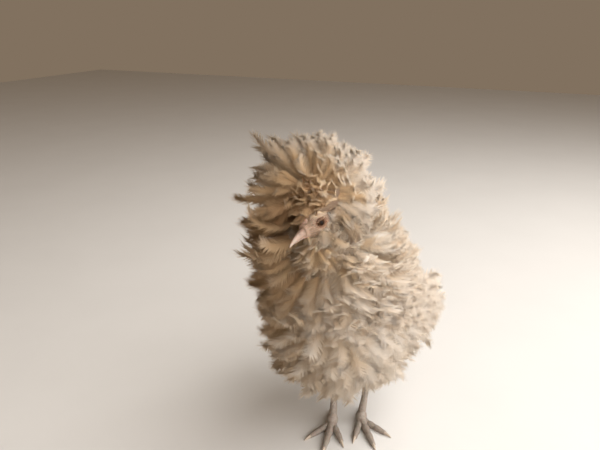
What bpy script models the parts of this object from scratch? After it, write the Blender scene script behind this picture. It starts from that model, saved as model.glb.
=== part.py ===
"""A crested, bearded, frizzle-feathered hen, life size, standing still.

Metres, +Z up. The hen faces -Y with her left side at +X, and her toes rest on flats at Z = 0.
The flesh is lofts and tubes, parted from each other by GAP, and the feathers are curled vanes
fused into the node that they grow from.
"""

import math
import random

import bmesh
import bpy
import numpy as np
from mathutils import Matrix, Vector
from mathutils.bvhtree import BVHTree

GAP = 0.0003
CLEAR = 0.0005
SEED = 7

# Torso, down and all: (forward, top line, under line, half width)
TORSO = (
    (-0.122, 0.238, 0.194, 0.015),
    (-0.112, 0.249, 0.163, 0.037),
    (-0.084, 0.256, 0.137, 0.056),
    (-0.044, 0.260, 0.126, 0.064),
    (0.000, 0.264, 0.125, 0.063),
    (0.036, 0.270, 0.130, 0.058),
    (0.062, 0.268, 0.146, 0.050),
    (0.080, 0.254, 0.172, 0.034),
    (0.088, 0.234, 0.196, 0.015),
)
# Neck and hackle down: (sideways, forward, up, radius), from inside the torso to inside the skull
NECK = (
    (0.000, 0.020, 0.226, 0.054),
    (-0.001, 0.032, 0.262, 0.052),
    (-0.008, 0.043, 0.292, 0.047),
    (-0.018, 0.054, 0.318, 0.040),
    (-0.015, 0.064, 0.338, 0.026),
)

HEAD_PLACE = (-0.011, 0.086, 0.348)  # sideways, forward, up
HEAD_YAW = math.radians(24)  # towards her own right
HEAD_DIP = math.radians(14)
# Skull along the head's own axis: (forward, raise, half width, half height)
SKULL = (
    (-0.029, 0.000, 0.006, 0.007),
    (-0.024, 0.001, 0.0115, 0.0125),
    (-0.013, 0.002, 0.0155, 0.0175),
    (0.000, 0.002, 0.0158, 0.0180),
    (0.010, 0.000, 0.0135, 0.0155),
    (0.018, -0.002, 0.0098, 0.0115),
    (0.024, -0.0035, 0.0068, 0.0085),
)
EYE_PLACE = (0.006, 0.0110, 0.0035)  # forward, sideways, up
EYE_RADIUS = 0.0058
LID_RING = 0.0056
LID_THICK = 0.0013
LID_STAND = 0.0034  # how far the lid's ring stands out from the eye's middle
LID_HEIGHT_SHARE = 0.80

BEAK_BASE = 0.0243
BEAK_LENGTH = 0.0230
BEAK_HALF_WIDTH = 0.0060
BEAK_HEIGHT = 0.0092
BEAK_HOOK = 0.0062
LOWER_BEAK_LENGTH = 0.0165
LOWER_BEAK_HEIGHT = 0.0042
LOWER_BEAK_HOOK = 0.0030
MOUTH_LEVEL = -0.0075
BEAK_SHARES = (0, 0.2, 0.42, 0.64, 0.84, 0.97)
MOUTH_GAP = 0.0020
NOSTRIL_DOME = (0.0026, 0.0044, 0.0026)
NOSTRIL_DOME_PLACE = (0.0052, 0.0034, 0.0065)  # ahead of the beak's base, sideways, above the mouth
NOSTRIL_HOLE = (0.0014, 0.0018, 0.0010)
NOSTRIL_HOLE_PLACE = (0.0068, 0.0060, 0.0064)
COMB_PLACE = (0.0190, 0.0, 0.0075)  # forward, sideways, up on the head
COMB_BASE = (0.0048, 0.0042, 0.0034)
COMB_HORN = 0.0090
COMB_HORN_ROOT = 0.0020
COMB_HORN_RADII = (0.0023, 0.0019, 0.0012, 0.0005)
COMB_ROOM = (0.0075, 0.0065, 0.0120)  # kept free of the crest round the comb

CREST_PLACE = (-0.017, -0.006, 0.030)
CREST_SIZE = (0.044, 0.041, 0.034)
BEARD_PLACE = (0.009, 0.0, -0.030)
BEARD_SIZE = (0.026, 0.019, 0.018)

WING_PLACE = (0.060, -0.012, 0.200)
WING_SIZE = (0.015, 0.070, 0.036)
WING_DROOP = math.radians(9)
WING_TOE_IN = math.radians(7)

TAIL_ROOT = (0.0, -0.106, 0.226)
TAIL_STEM = 0.028
TAIL_STEM_RADII = (0.019, 0.020, 0.016, 0.008)
TAIL_RISE = math.radians(20)
TAIL_LENGTH = 0.082

HOCK = (0.025, -0.028, 0.101)
KNEE = (0.034, 0.006, 0.158)
ANKLE = (0.018, -0.011, 0.0175)
THIGH_RADII = (0.030, 0.0245, 0.014, 0.0078)
SHANK_RADIUS = 0.0056
SHANK_COLLAR = 0.0074  # radius where the shank leaves the down
SHANK_COLLAR_LENGTH = 0.006
SHANK_SCUTES = 8
SCUTE_STEP = 0.0006

# The clear view of the face: from a place on the head, a way out and a half angle
FACE_FROM = (0.010, 0.007, -0.003)
FACE_WAY = (0.66, 0.56, 0.50)
FACE_ANGLE = math.radians(27)
FACE_REACH = 0.12

# Toes: name, turn from straight ahead (outwards), length, radius at the root
TOES = (
    ("inner", math.radians(-28), 0.040, 0.0047),
    ("middle", math.radians(3), 0.055, 0.0050),
    ("outer", math.radians(38), 0.043, 0.0046),
    ("hind", math.radians(167), 0.024, 0.0040),
)
TOE_TIP_SHARE = 0.66
CLAW_LENGTH = 0.011
FOOT_TURN = {"left": math.radians(34), "right": math.radians(-12)}
LEAN = 0.002  # her legs stand this far to her left of the middle
FOOT_SHIFT = {"left": -0.010, "right": 0.015}  # her right foot stands ahead of her left one
TOE_START = 0.004  # ahead of the ankle
# Along one toe: (share of its length, height of the axis, radius), both in radii at its root
TOE_SECTIONS = (
    (0.0, 2.0, 1.0),
    (0.14, 1.35, 1.08),
    (0.30, 0.92, 0.94),
    (0.40, 0.86, 1.08),
    (0.58, 0.82, 0.84),
    (0.68, 0.80, 0.96),
    (0.88, 0.70, 0.74),
    (1.0, 0.62, TOE_TIP_SHARE),
)
FOOT_PAD = (0.0078, 0.0088, 0.0098)
FOOT_PAD_PLACE = (0.0, -0.003, -0.0075)  # from the ankle
CLAW_SHARES = (0, 0.3, 0.6, 0.85, 1)
CLAW_RADII = (0.92, 0.77, 0.55, 0.31, 0.13)
CLAW_POINT_HEIGHT = 0.0008

# Vanes: every width, length, lift and curl below is one feather's own
VANE_THICKNESS = 0.0008
ROOT_DEPTH = 0.006  # how far the quill is sunk in the flesh
VANE_WIDTH_SHARES = ((0, 0.3, 0.68, 0.86, 1), (0.28, 0.66, 1.0, 0.9, 0.42))
VANE_THICK_SHARES = ((0, 0.5, 1), (1.35, 1.0, 0.8))
CURL_POWER = 1.3

# Crest rows: (degrees above the head's level, feathers, length)
CREST_ROWS = ((82, 3, 0.038), (58, 6, 0.040), (34, 9, 0.044), (10, 11, 0.050), (-16, 10, 0.054))
CREST_VANE = {"width": 0.0230, "lift": math.radians(40), "curl": math.radians(62)}
CREST_FAR_SIDE = 0.22  # how much longer the crest hangs on her right
# Beard rows: (degrees above the head's level, feathers, length)
BEARD_ROWS = ((10, 8, 0.024), (-24, 8, 0.031), (-58, 5, 0.033))
BEARD_SPAN = math.radians(240)
BEARD_VANE = {"width": 0.0115, "lift": math.radians(34), "curl": math.radians(66)}
HACKLES_IN_ROW = 8
HACKLE_LENGTH = 0.053
HACKLE_FAR_SIDE = 0.55
HACKLE_VANE = {"width": 0.0250, "lift": math.radians(46), "curl": math.radians(66)}
BODY_LENGTH = 0.051
BODY_VANE = {"width": 0.0300, "lift": math.radians(42), "curl": math.radians(66)}
BODY_IN_ROW = 10
BODY_IN_END_ROW = 7
# Flight tiers: (feathers, length, width, lowest root, highest root), roots in half heights of the wing
FLIGHT_TIERS = ((4, 0.088, 0.0165, -0.66, -0.14), (4, 0.072, 0.0200, 0.02, 0.60))
FLIGHT_LIFT = math.radians(14)
FLIGHT_CURL = math.radians(34)
FLIGHT_TWIST = 0.25
# Covert rows: (how far behind the wing's middle, feathers, length)
COVERT_ROWS = ((-0.046, 2, 0.034), (-0.024, 3, 0.038), (0.000, 2, 0.042), (0.024, 2, 0.044))
COVERT_VANE = {"width": 0.0215, "lift": math.radians(38), "curl": math.radians(60)}
# Tail tiers: (feathers, length over TAIL_LENGTH, width, half fan, degrees above the stem)
TAIL_TIERS = ((5, 0.82, 0.0210, 58, 20), (3, 0.72, 0.0210, 30, 58), (2, 0.5, 0.0180, 40, -30))
TAIL_LIFT = math.radians(20)
TAIL_CURL = math.radians(46)
# Thigh rows: (share of the way from knee to hock, feathers, length)
THIGH_ROWS = ((0.36, 7, 0.040), (0.60, 6, 0.033), (0.84, 5, 0.026))
THIGH_VANE = {"width": 0.0145, "lift": math.radians(32), "curl": math.radians(48)}

COLOURS = {
    "feather": ((0.80, 0.69, 0.55, 1), 0.85),
    "face": ((0.62, 0.36, 0.29, 1), 0.6),
    "beak": ((0.74, 0.60, 0.50, 1), 0.4),
    "eye": ((0.05, 0.025, 0.01, 1), 0.08),
    "leg": ((0.62, 0.58, 0.54, 1), 0.55),
    "claw": ((0.66, 0.58, 0.49, 1), 0.4),
    "comb": ((0.55, 0.12, 0.10, 1), 0.5),
}

rng = random.Random(SEED)


def clear_scene():
    for obj in list(bpy.data.objects):
        bpy.data.objects.remove(obj)
    for collection in list(bpy.data.collections):
        bpy.data.collections.remove(collection)


def place(sideways, forward, up):
    return Vector((sideways, -forward, up))


def material(kind):
    found = bpy.data.materials.get(kind)
    if found:
        return found
    colour, roughness = COLOURS[kind]
    made = bpy.data.materials.new(kind)
    made.use_nodes = True
    shader = made.node_tree.nodes["Principled BSDF"]
    shader.inputs["Base Color"].default_value = colour
    shader.inputs["Roughness"].default_value = roughness
    shader.inputs["Metallic"].default_value = 0.0
    made.diffuse_color = colour
    return made


def mesh_object(name, points, faces):
    mesh = bpy.data.meshes.new(name)
    mesh.from_pydata([tuple(p) for p in points], [], [tuple(int(i) for i in f) for f in faces])
    obj = bpy.data.objects.new(name, mesh)
    bpy.context.scene.collection.objects.link(obj)
    work = bmesh.new()
    work.from_mesh(mesh)
    bmesh.ops.recalc_face_normals(work, faces=work.faces)
    work.to_mesh(mesh)
    work.free()
    return obj


def smooth_stations(stations, steps):
    """A Catmull-Rom curve through the rows, read steps times in each gap."""
    rows = np.array(stations, float)
    padded = np.vstack([2 * rows[0] - rows[1], rows, 2 * rows[-1] - rows[-2]])
    out = []
    for i in range(1, len(padded) - 2):
        a, b, c, d = padded[i - 1 : i + 3]
        for t in np.arange(steps) / steps:
            bend, twist = 2 * a - 5 * b + 4 * c - d, 3 * b - a - 3 * c + d
            out.append(0.5 * (2 * b + (c - a) * t + bend * t**2 + twist * t**3))
    out.append(rows[-1])
    return np.array(out)


def loft(name, rings):
    """Closed rings of points, joined one to the next and capped at both ends."""
    rings = np.asarray(rings, float)
    count, sides, _ = rings.shape
    faces = []
    for r in range(count - 1):
        for s in range(sides):
            a, b = r * sides + s, r * sides + (s + 1) % sides
            faces += [(a, b, b + sides), (a, b + sides, a + sides)]
    faces.append(tuple(range(sides)))
    faces.append(tuple(reversed(range((count - 1) * sides, count * sides))))
    return mesh_object(name, rings.reshape(-1, 3), faces)


def ellipse_ring(centre, wide, high, half_width, half_height, sides):
    turn = np.arange(sides) * 2 * math.pi / sides
    return (
        np.array(centre)
        + np.outer(np.cos(turn) * half_width, np.array(wide))
        + np.outer(np.sin(turn) * half_height, np.array(high))
    )


def tube(name, points, radii, resolution=2):
    """A filled tube through the points, as a mesh."""
    curve = bpy.data.curves.new(name, "CURVE")
    curve.dimensions = "3D"
    curve.bevel_depth = 1.0
    curve.bevel_resolution = resolution
    curve.use_fill_caps = True
    spline = curve.splines.new("POLY")
    spline.points.add(len(points) - 1)
    for point, where, radius in zip(spline.points, points, radii):
        point.co = (*where, 1)
        point.radius = radius
    guide = bpy.data.objects.new(name + "_guide", curve)
    bpy.context.scene.collection.objects.link(guide)
    graph = bpy.context.evaluated_depsgraph_get()
    mesh = bpy.data.meshes.new_from_object(guide.evaluated_get(graph))
    obj = bpy.data.objects.new(name, mesh)
    obj.matrix_world = guide.matrix_world
    bpy.context.scene.collection.objects.link(obj)
    bpy.data.objects.remove(guide)
    work = bmesh.new()
    work.from_mesh(mesh)
    bmesh.ops.remove_doubles(work, verts=work.verts, dist=1e-6)
    bmesh.ops.recalc_face_normals(work, faces=work.faces)
    work.to_mesh(mesh)
    work.free()
    return obj


def ball(name, centre, sizes, turn=None, segments=16, rings=10):
    """An ellipsoid: sizes are its half lengths along its own X, Y and Z."""
    bpy.ops.mesh.primitive_uv_sphere_add(segments=segments, ring_count=rings, radius=1)
    obj = bpy.context.object
    obj.name = name
    obj.data.name = name
    scale = Matrix.Diagonal((*sizes, 1))
    obj.data.transform(Matrix.Translation(centre) @ (turn.to_4x4() if turn else Matrix()) @ scale)
    return obj


def apply_boolean(obj, other, operation):
    """One Boolean by an object or by a collection, applied. What it used is then removed."""
    modifier = obj.modifiers.new(operation.lower(), "BOOLEAN")
    modifier.operation = operation
    modifier.solver = "MANIFOLD"
    pieces = [other]
    if isinstance(other, bpy.types.Collection):
        modifier.operand_type = "COLLECTION"
        modifier.collection = other
        pieces = list(other.objects)
    else:
        modifier.object = other
    graph = bpy.context.evaluated_depsgraph_get()
    mesh = bpy.data.meshes.new_from_object(obj.evaluated_get(graph))
    obj.modifiers.clear()
    mesh.name = obj.name
    obj.data = mesh
    for piece in pieces:
        bpy.data.objects.remove(piece)
    if isinstance(other, bpy.types.Collection):
        bpy.data.collections.remove(other)


def cut(obj, *cutters):
    for cutter in cutters:
        apply_boolean(obj, cutter, "DIFFERENCE")


def fuse(obj, pieces):
    gathered = bpy.data.collections.new("pieces")
    bpy.context.scene.collection.children.link(gathered)
    for piece in pieces:
        bpy.context.scene.collection.objects.unlink(piece)
        gathered.objects.link(piece)
    apply_boolean(obj, gathered, "UNION")
    keep_largest(obj)


def keep_largest(obj):
    """Keeps only the largest closed surface of the mesh."""
    work = bmesh.new()
    work.from_mesh(obj.data)
    bmesh.ops.triangulate(work, faces=work.faces)
    work.verts.ensure_lookup_table()
    seen, shells = set(), []
    for start in work.verts:
        if start.index in seen:
            continue
        shell, stack = [], [start]
        seen.add(start.index)
        while stack:
            vert = stack.pop()
            shell.append(vert)
            for edge in vert.link_edges:
                near = edge.other_vert(vert)
                if near.index not in seen:
                    seen.add(near.index)
                    stack.append(near)
        shells.append(shell)
    shells.sort(key=len)
    bmesh.ops.delete(work, geom=[v for shell in shells[:-1] for v in shell], context="VERTS")
    work.to_mesh(obj.data)
    work.free()


def tree_of(*objs):
    points, faces = [], []
    for obj in objs:
        start = len(points)
        obj.data.calc_loop_triangles()
        points += [v.co.copy() for v in obj.data.vertices]
        faces += [[start + i for i in t.vertices] for t in obj.data.loop_triangles]
    return BVHTree.FromPolygons(points, faces)


class Head:
    """The head's own axes and places on them."""

    centre = place(*HEAD_PLACE)
    ahead = Vector(
        (
            -math.sin(HEAD_YAW) * math.cos(HEAD_DIP),
            -math.cos(HEAD_YAW) * math.cos(HEAD_DIP),
            -math.sin(HEAD_DIP),
        )
    )
    left = Vector((math.cos(HEAD_YAW), -math.sin(HEAD_YAW), 0))
    up = left.cross(ahead) * -1

    @classmethod
    def at(cls, forward, sideways, up):
        return cls.centre + cls.ahead * forward + cls.left * sideways + cls.up * up

    @classmethod
    def turn(cls):
        """Turns X to her left, Y backwards and Z up along the head."""
        return Matrix((cls.left, -cls.ahead, cls.up)).transposed()


def torso_core(name="torso", grow=0.0):
    rows = smooth_stations(TORSO, 2)
    rings = []
    for i, (forward, top, under, half_width) in enumerate(rows):
        reach = forward + (grow if i == len(rows) - 1 else -grow if i == 0 else 0)
        centre = place(0, reach, (top + under) / 2)
        rings.append(
            ellipse_ring(centre, (1, 0, 0), (0, 0, 1), half_width + grow, (top - under) / 2 + grow, 18)
        )
    return loft(name, rings)


def skull_core(name="head", grow=0.0, stretch=0.0):
    rows = smooth_stations(SKULL, 2)
    rings = []
    for i, (forward, raised, half_width, half_height) in enumerate(rows):
        reach = forward + (stretch if i == len(rows) - 1 else -grow if i == 0 else 0)
        rings.append(
            ellipse_ring(
                Head.at(reach, 0, raised), Head.left, Head.up, half_width + grow, half_height + grow, 16
            )
        )
    return loft(name, rings)


def neck_core(name="neck", grow=0.0):
    rows = smooth_stations(NECK, 3)
    points = [place(*row[:3]) for row in rows]
    rings = []
    for i, (point, row) in enumerate(zip(points, rows)):
        along = (points[min(i + 1, len(points) - 1)] - points[max(i - 1, 0)]).normalized()
        wide = Vector((1, 0, 0))
        wide = (wide - along * wide.dot(along)).normalized()
        if i == len(rows) - 1:
            point = point + along * grow
        rings.append(ellipse_ring(point, wide, along.cross(wide), row[3] + grow, row[3] + grow, 16))
    return loft(name, rings)


def vane_rings(root, lie, out, length, width, thick, lift, curl, twist=0.0, steps=3):
    """Rectangular sections along a feather that leaves the skin at lift and curls on by curl.

    root is sunk in the core, lie is the way the feather lies and out is away from the skin.
    The width grows from the quill to two thirds of the length and closes at a round tip.
    """
    side = lie.cross(out).normalized()
    shares = np.linspace(0, 1, steps + 1)
    shares[-2] = min(shares[-2] + 0.06, 0.9)
    widths = np.interp(shares, *VANE_WIDTH_SHARES) * width
    thicks = np.interp(shares, *VANE_THICK_SHARES) * thick
    place_now, rings, fine, done = Vector(root), [], 6, 0.0
    for share, wide, deep in zip(shares, widths, thicks):
        for k in range(fine):
            s = done + (share - done) * (k + 0.5) / fine
            angle = lift + curl * s**CURL_POWER
            place_now = place_now + (lie * math.cos(angle) + out * math.sin(angle)) * (
                length * (share - done) / fine
            )
        done = share
        angle = lift + curl * share**CURL_POWER
        normal = out * math.cos(angle) - lie * math.sin(angle)
        lean = twist * share
        across = side * math.cos(lean) + normal * math.sin(lean)
        normal = normal * math.cos(lean) - side * math.sin(lean)
        a, n = across * (wide / 2), normal * (deep / 2)
        rings.append([place_now - a - n, place_now + a - n, place_now + a + n, place_now - a + n])
    return rings


def vane_object(rings):
    """The vane as a closed mesh whose two faces are split alike."""
    points = [p for ring in rings for p in ring]
    faces = [(0, 2, 1), (0, 3, 2)]
    for r in range(len(rings) - 1):
        a, b = 4 * r, 4 * (r + 1)
        faces += [(a, a + 1, b + 1), (a, b + 1, b)]
        faces += [(a + 3, b + 2, a + 2), (a + 3, b + 3, b + 2)]
        faces += [(a + 1, a + 2, b + 2), (a + 1, b + 2, b + 1)]
        faces += [(a + 3, a, b), (a + 3, b, b + 3)]
    last = 4 * (len(rings) - 1)
    faces += [(last, last + 1, last + 2), (last, last + 2, last + 3)]
    return points, faces


def face_windows():
    """Two cones ahead of the eyes, which no feather enters."""
    trees = []
    for side in (1, -1):
        forward, sideways, up = FACE_FROM
        way = Vector(FACE_WAY).normalized()
        way = Head.ahead * way.x + Head.left * (side * way.y) + Head.up * way.z
        start = Head.at(forward, side * sideways, up)
        wide = way.cross(Head.up).normalized()
        high = way.cross(wide)
        spread = FACE_REACH * math.tan(FACE_ANGLE)
        ring = [
            start + way * FACE_REACH + (wide * math.cos(t) + high * math.sin(t)) * spread
            for t in np.arange(12) * math.pi / 6
        ]
        trees.append(BVHTree.FromPolygons([start, *ring], [(0, i + 1, (i + 1) % 12 + 1) for i in range(12)]))
    return trees


class Coat:
    """Feathers of one node, each kept clear of every other node and of the face."""

    trees = {}

    def __init__(self, core):
        self.core = core
        self.tree = tree_of(core)
        self.pieces = []
        self.dropped = 0

    def others(self):
        return [tree for name, trees in Coat.trees.items() if name != self.core.name for tree in trees]

    def grow(self, origin, towards, lie, length, width, lift, curl, depth=ROOT_DEPTH, **more):
        """One feather where a line from origin leaves the core, shortened or dropped if it isn't clear."""
        towards = towards.normalized()
        far = origin + towards * 0.3
        hit, normal, _, _ = self.tree.ray_cast(far, -towards)
        if hit is None:
            return False
        if normal.dot(towards) < 0:
            normal = -normal
        lie = lie - normal * lie.dot(normal)
        if lie.length < 1e-6:
            return False
        lie.normalize()
        for share in (1.0, 0.86, 0.72, 0.6):
            for extra in (0.0, 0.25, -0.25, 0.5):
                start = lift + extra
                first = lie * math.cos(start) + normal * math.sin(start)
                root = hit - first * depth
                shape = dict(length=length * share + depth, lift=start, curl=curl, **more)
                wide = vane_rings(
                    root, lie, normal, width=width + 2 * CLEAR, thick=VANE_THICKNESS + 2 * CLEAR, **shape
                )
                points, faces = vane_object(wide)
                test = BVHTree.FromPolygons(points, faces)
                if any(test.overlap(tree) for tree in self.others()):
                    continue
                if min(p.z for p in points) < 2 * CLEAR:
                    continue
                points, faces = vane_object(
                    vane_rings(root, lie, normal, width=width, thick=VANE_THICKNESS, **shape)
                )
                self.pieces.append((points, faces))
                return True
        self.dropped += 1
        return False

    def finish(self):
        grown = [mesh_object(f"vane_{i}", *piece) for i, piece in enumerate(self.pieces)]
        Coat.trees[self.core.name] = [self.tree] + [tree_of(obj) for obj in grown]
        count = len(grown)
        fuse(self.core, grown)
        triangles = len(self.core.data.polygons)
        print(f"{self.core.name}: {count} vanes, {self.dropped} left out, {triangles} triangles")


def wobble(amount):
    return rng.uniform(-amount, amount)


def curled(vane, amount):
    """The sizes of one kind of vane, its curl varied by up to amount."""
    return {**vane, "curl": vane["curl"] + wobble(amount)}


def finish_node(obj, kind):
    obj.data.materials.clear()
    obj.data.materials.append(material(kind))
    obj.data.shade_smooth()
    obj.data.set_sharp_from_angle(angle=math.radians(40))


def eye_clearance(side):
    forward, sideways, up = EYE_PLACE
    reach = LID_RING + LID_THICK + GAP
    return ball("cutter", Head.at(forward, side * (sideways + 0.002), up), (reach,) * 3, Head.turn(), 14, 10)


def make_head():
    head = skull_core()
    for side in (1, -1):
        forward, sideways, up = EYE_PLACE
        bpy.ops.mesh.primitive_torus_add(
            major_radius=LID_RING, minor_radius=LID_THICK, major_segments=14, minor_segments=5
        )
        lid = bpy.context.object
        lid.name = f"lid_{side}"
        flatten = Matrix.Diagonal((LID_HEIGHT_SHARE, 1.0, 1.0))
        stand = Head.turn() @ Matrix.Rotation(math.radians(90), 3, "Y") @ flatten
        spot = Head.at(forward, side * (sideways + LID_STAND), up)
        lid.data.transform(Matrix.Translation(spot) @ stand.to_4x4())
        apply_boolean(head, lid, "UNION")
        socket = ball(
            "socket", Head.at(forward, side * sideways, up), (EYE_RADIUS + GAP,) * 3, Head.turn(), 12, 8
        )
        cut(head, socket)
        eye = ball(
            "eye_left" if side > 0 else "eye_right",
            Head.at(forward, side * sideways, up),
            (EYE_RADIUS,) * 3,
            Head.turn(),
            12,
            8,
        )
        finish_node(eye, "eye")
    keep_largest(head)
    return head


def beak_half(name, length, height, floor, hook, rise):
    """One half of the beak: floor is its mouth edge's level, rise is +1 for the upper half."""
    rings = []
    for share in BEAK_SHARES:
        taper = (1 - share) ** 0.62
        droop = -hook * share**2.2
        middle = floor + droop
        ring = []
        for turn in np.arange(12) * math.pi / 6:
            up = max(math.sin(turn) * rise, -0.12) * height * (taper * 0.93 + 0.07) * rise
            across = math.cos(turn) * BEAK_HALF_WIDTH * (taper * 0.94 + 0.06)
            ring.append(Head.at(BEAK_BASE + length * share, across, middle + up))
        rings.append(ring)
    return loft(name, rings)


def make_beak():
    upper_floor = MOUTH_LEVEL + 0.65 * MOUTH_GAP
    lower_floor = MOUTH_LEVEL - 0.35 * MOUTH_GAP
    upper = beak_half("beak_upper", BEAK_LENGTH, BEAK_HEIGHT, upper_floor, BEAK_HOOK, 1)
    lower = beak_half("beak_lower", LOWER_BEAK_LENGTH, LOWER_BEAK_HEIGHT, lower_floor, LOWER_BEAK_HOOK, -1)
    for side in (1, -1):
        spots = []
        for ahead, sideways, above in (NOSTRIL_DOME_PLACE, NOSTRIL_HOLE_PLACE):
            spots.append(Head.at(BEAK_BASE + ahead, side * sideways, MOUTH_LEVEL + above))
        dome = ball("nostril_dome", spots[0], NOSTRIL_DOME, Head.turn(), 10, 6)
        apply_boolean(upper, dome, "UNION")
        cut(upper, ball("nostril", spots[1], NOSTRIL_HOLE, Head.turn(), 8, 6))
    cut(upper, skull_core("cutter", GAP, 0.0))
    cut(lower, skull_core("cutter", GAP, 0.0))
    return upper, lower


def make_comb():
    """The small V of two horns that stands ahead of the crest."""
    forward, _, up = COMB_PLACE
    comb = ball("comb", Head.at(*COMB_PLACE), COMB_BASE, Head.turn(), 10, 6)
    horns = []
    for side in (1, -1):
        base = Head.at(forward, side * COMB_HORN_ROOT, up + 0.0005)
        lean = (Head.up + Head.left * (0.45 * side) + Head.ahead * 0.25).normalized()
        points = [base + lean * (COMB_HORN * s) for s in (0, 0.45, 0.8, 1)]
        horns.append(tube(f"horn_{side}", points, COMB_HORN_RADII, 1))
    fuse(comb, horns)
    cut(comb, skull_core("cutter", GAP))
    keep_largest(comb)
    return comb


def side_name(stem, side):
    return f"{stem}_{'left' if side > 0 else 'right'}"


def wing_core(side, name=None, grow=0.0):
    sideways, forward, up = WING_PLACE
    turn = Matrix.Rotation(-WING_DROOP, 3, "X") @ Matrix.Rotation(-WING_TOE_IN * side, 3, "Z")
    sizes = [size + grow for size in WING_SIZE]
    return ball(name or side_name("wing", side), place(side * sideways, forward, up), sizes, turn, 12, 12)


def leg_place(side, spot, shift=0.0):
    sideways, forward, up = spot
    return place(side * sideways + LEAN, forward + shift, up)


def foot_shift(side):
    return FOOT_SHIFT["left" if side > 0 else "right"]


def thigh_core(side):
    knee, hock = leg_place(side, KNEE), leg_place(side, HOCK, foot_shift(side) / 2)
    shares = (0, 0.35, 0.72, 1)
    points = [knee.lerp(hock, s) for s in shares]
    return tube(side_name("thigh", side), points, THIGH_RADII, 3)


def shank_core(side, name=None, grow=0.0):
    """The bare shank: a tube whose steps are the scutes down its front."""
    hock = leg_place(side, HOCK, foot_shift(side) / 2)
    ankle = leg_place(side, ANKLE, foot_shift(side))
    along = (ankle - hock).normalized()
    top = hock + along * (GAP - grow)
    points = [top, top + along * SHANK_COLLAR_LENGTH]
    radii = [SHANK_COLLAR + grow, SHANK_COLLAR * 0.945 + grow]
    reach = (ankle - top).length - SHANK_COLLAR_LENGTH
    for i in range(SHANK_SCUTES):
        for share, step in ((0.04, SCUTE_STEP), (0.86, 0.0)):
            points.append(top + along * (SHANK_COLLAR_LENGTH + reach * (i + share) / SHANK_SCUTES))
            radii.append(SHANK_RADIUS + step + grow)
    return tube(name or side_name("shank", side), points, radii, 2)


def toe_path(side, turn, length, radius):
    """Points and radii of one toe, which lies along the floor, and the way it points."""
    name = "left" if side > 0 else "right"
    heading = side * (turn + FOOT_TURN[name])
    way = Vector((math.sin(heading), -math.cos(heading), 0))
    start = leg_place(side, ANKLE, foot_shift(side) + TOE_START)
    start.z = 0.0
    points, radii = [], []
    for share, level, thick in TOE_SECTIONS:
        points.append(start + way * (length * share) + Vector((0, 0, radius * level)))
        radii.append(radius * thick)
    return points, radii, way


def press_flat(obj):
    """Everything under the floor is pressed up to it, which makes the pads' flats."""
    for vert in obj.data.vertices:
        vert.co.z = max(vert.co.z, 0.0)


def make_foot(side):
    name = side_name("foot", side)
    ankle = leg_place(side, ANKLE, foot_shift(side))
    foot = ball(name, ankle + Vector(FOOT_PAD_PLACE), FOOT_PAD, None, 12, 8)
    toes = []
    for toe, turn, length, radius in TOES:
        points, radii, way = toe_path(side, turn, length, radius)
        toes.append(tube(f"toe_{toe}", points, radii))
        make_claw(side, toe, points[-1], way, radius * TOE_TIP_SHARE)
    for toe in toes:
        press_flat(toe)
    press_flat(foot)
    fuse(foot, toes)
    hock = leg_place(side, HOCK, foot_shift(side) / 2)
    along = (ankle - hock).normalized()
    shank_end = tube(
        "cutter", [hock, ankle + along * GAP], [SHANK_RADIUS + SCUTE_STEP + GAP] * 2, 3
    )
    cut(foot, shank_end)
    keep_largest(foot)
    finish_node(foot, "leg")
    return foot


def make_claw(side, toe, tip, way, radius):
    """A curved claw ahead of the toe's end, its point on the floor."""
    start = tip + way * GAP
    points = []
    for share in CLAW_SHARES:
        drop = (tip.z - CLAW_POINT_HEIGHT) * share**1.7
        points.append(start + way * (CLAW_LENGTH * share) - Vector((0, 0, drop)))
    radii = [radius * share for share in CLAW_RADII]
    claw = tube(side_name(f"claw_{toe}", side), points, radii, 1)
    press_flat(claw)
    finish_node(claw, "claw")


def dress_crest(core):
    """The crest's feathers lie away from the forehead, stand up and curl over."""
    coat = Coat(core)
    centre = Head.at(*CREST_PLACE)
    forehead = (Head.ahead + Head.up * 0.25 + Head.left * 0.2).normalized()
    for row, (rise, count, length) in enumerate(CREST_ROWS):
        for i in range(count):
            spin = 2 * math.pi * (i + 0.5 * (row % 2)) / count + wobble(0.10)
            up = math.radians(rise) + wobble(0.08)
            around = Head.ahead * math.cos(spin) + Head.left * math.sin(spin)
            out = around * math.cos(up) + Head.up * math.sin(up)
            longer = 1 + CREST_FAR_SIDE * max(0.0, -math.sin(spin)) * math.cos(up)
            length_now = length * longer * rng.uniform(0.84, 1.14)
            vane = curled(CREST_VANE, 0.35)
            lie = out - forehead * 1.3 - Head.up * 0.2
            coat.grow(centre, out, lie, length_now, **vane, twist=wobble(0.5))
    coat.finish()


def dress_beard(core):
    coat = Coat(core)
    centre = Head.at(*BEARD_PLACE)
    for rise, count, length in BEARD_ROWS:
        for i in range(count):
            spin = BEARD_SPAN * ((i + 0.5) / count - 0.5) + wobble(0.08)
            up = math.radians(rise)
            around = Head.ahead * math.cos(spin) + Head.left * math.sin(spin)
            out = around * math.cos(up) + Head.up * math.sin(up)
            length_now = length * rng.uniform(0.9, 1.1)
            vane = curled(BEARD_VANE, 0.3)
            coat.grow(centre, out, -Head.up - Head.ahead * 0.1, length_now, **vane, depth=0.0025, steps=2)
    coat.finish()


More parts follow.
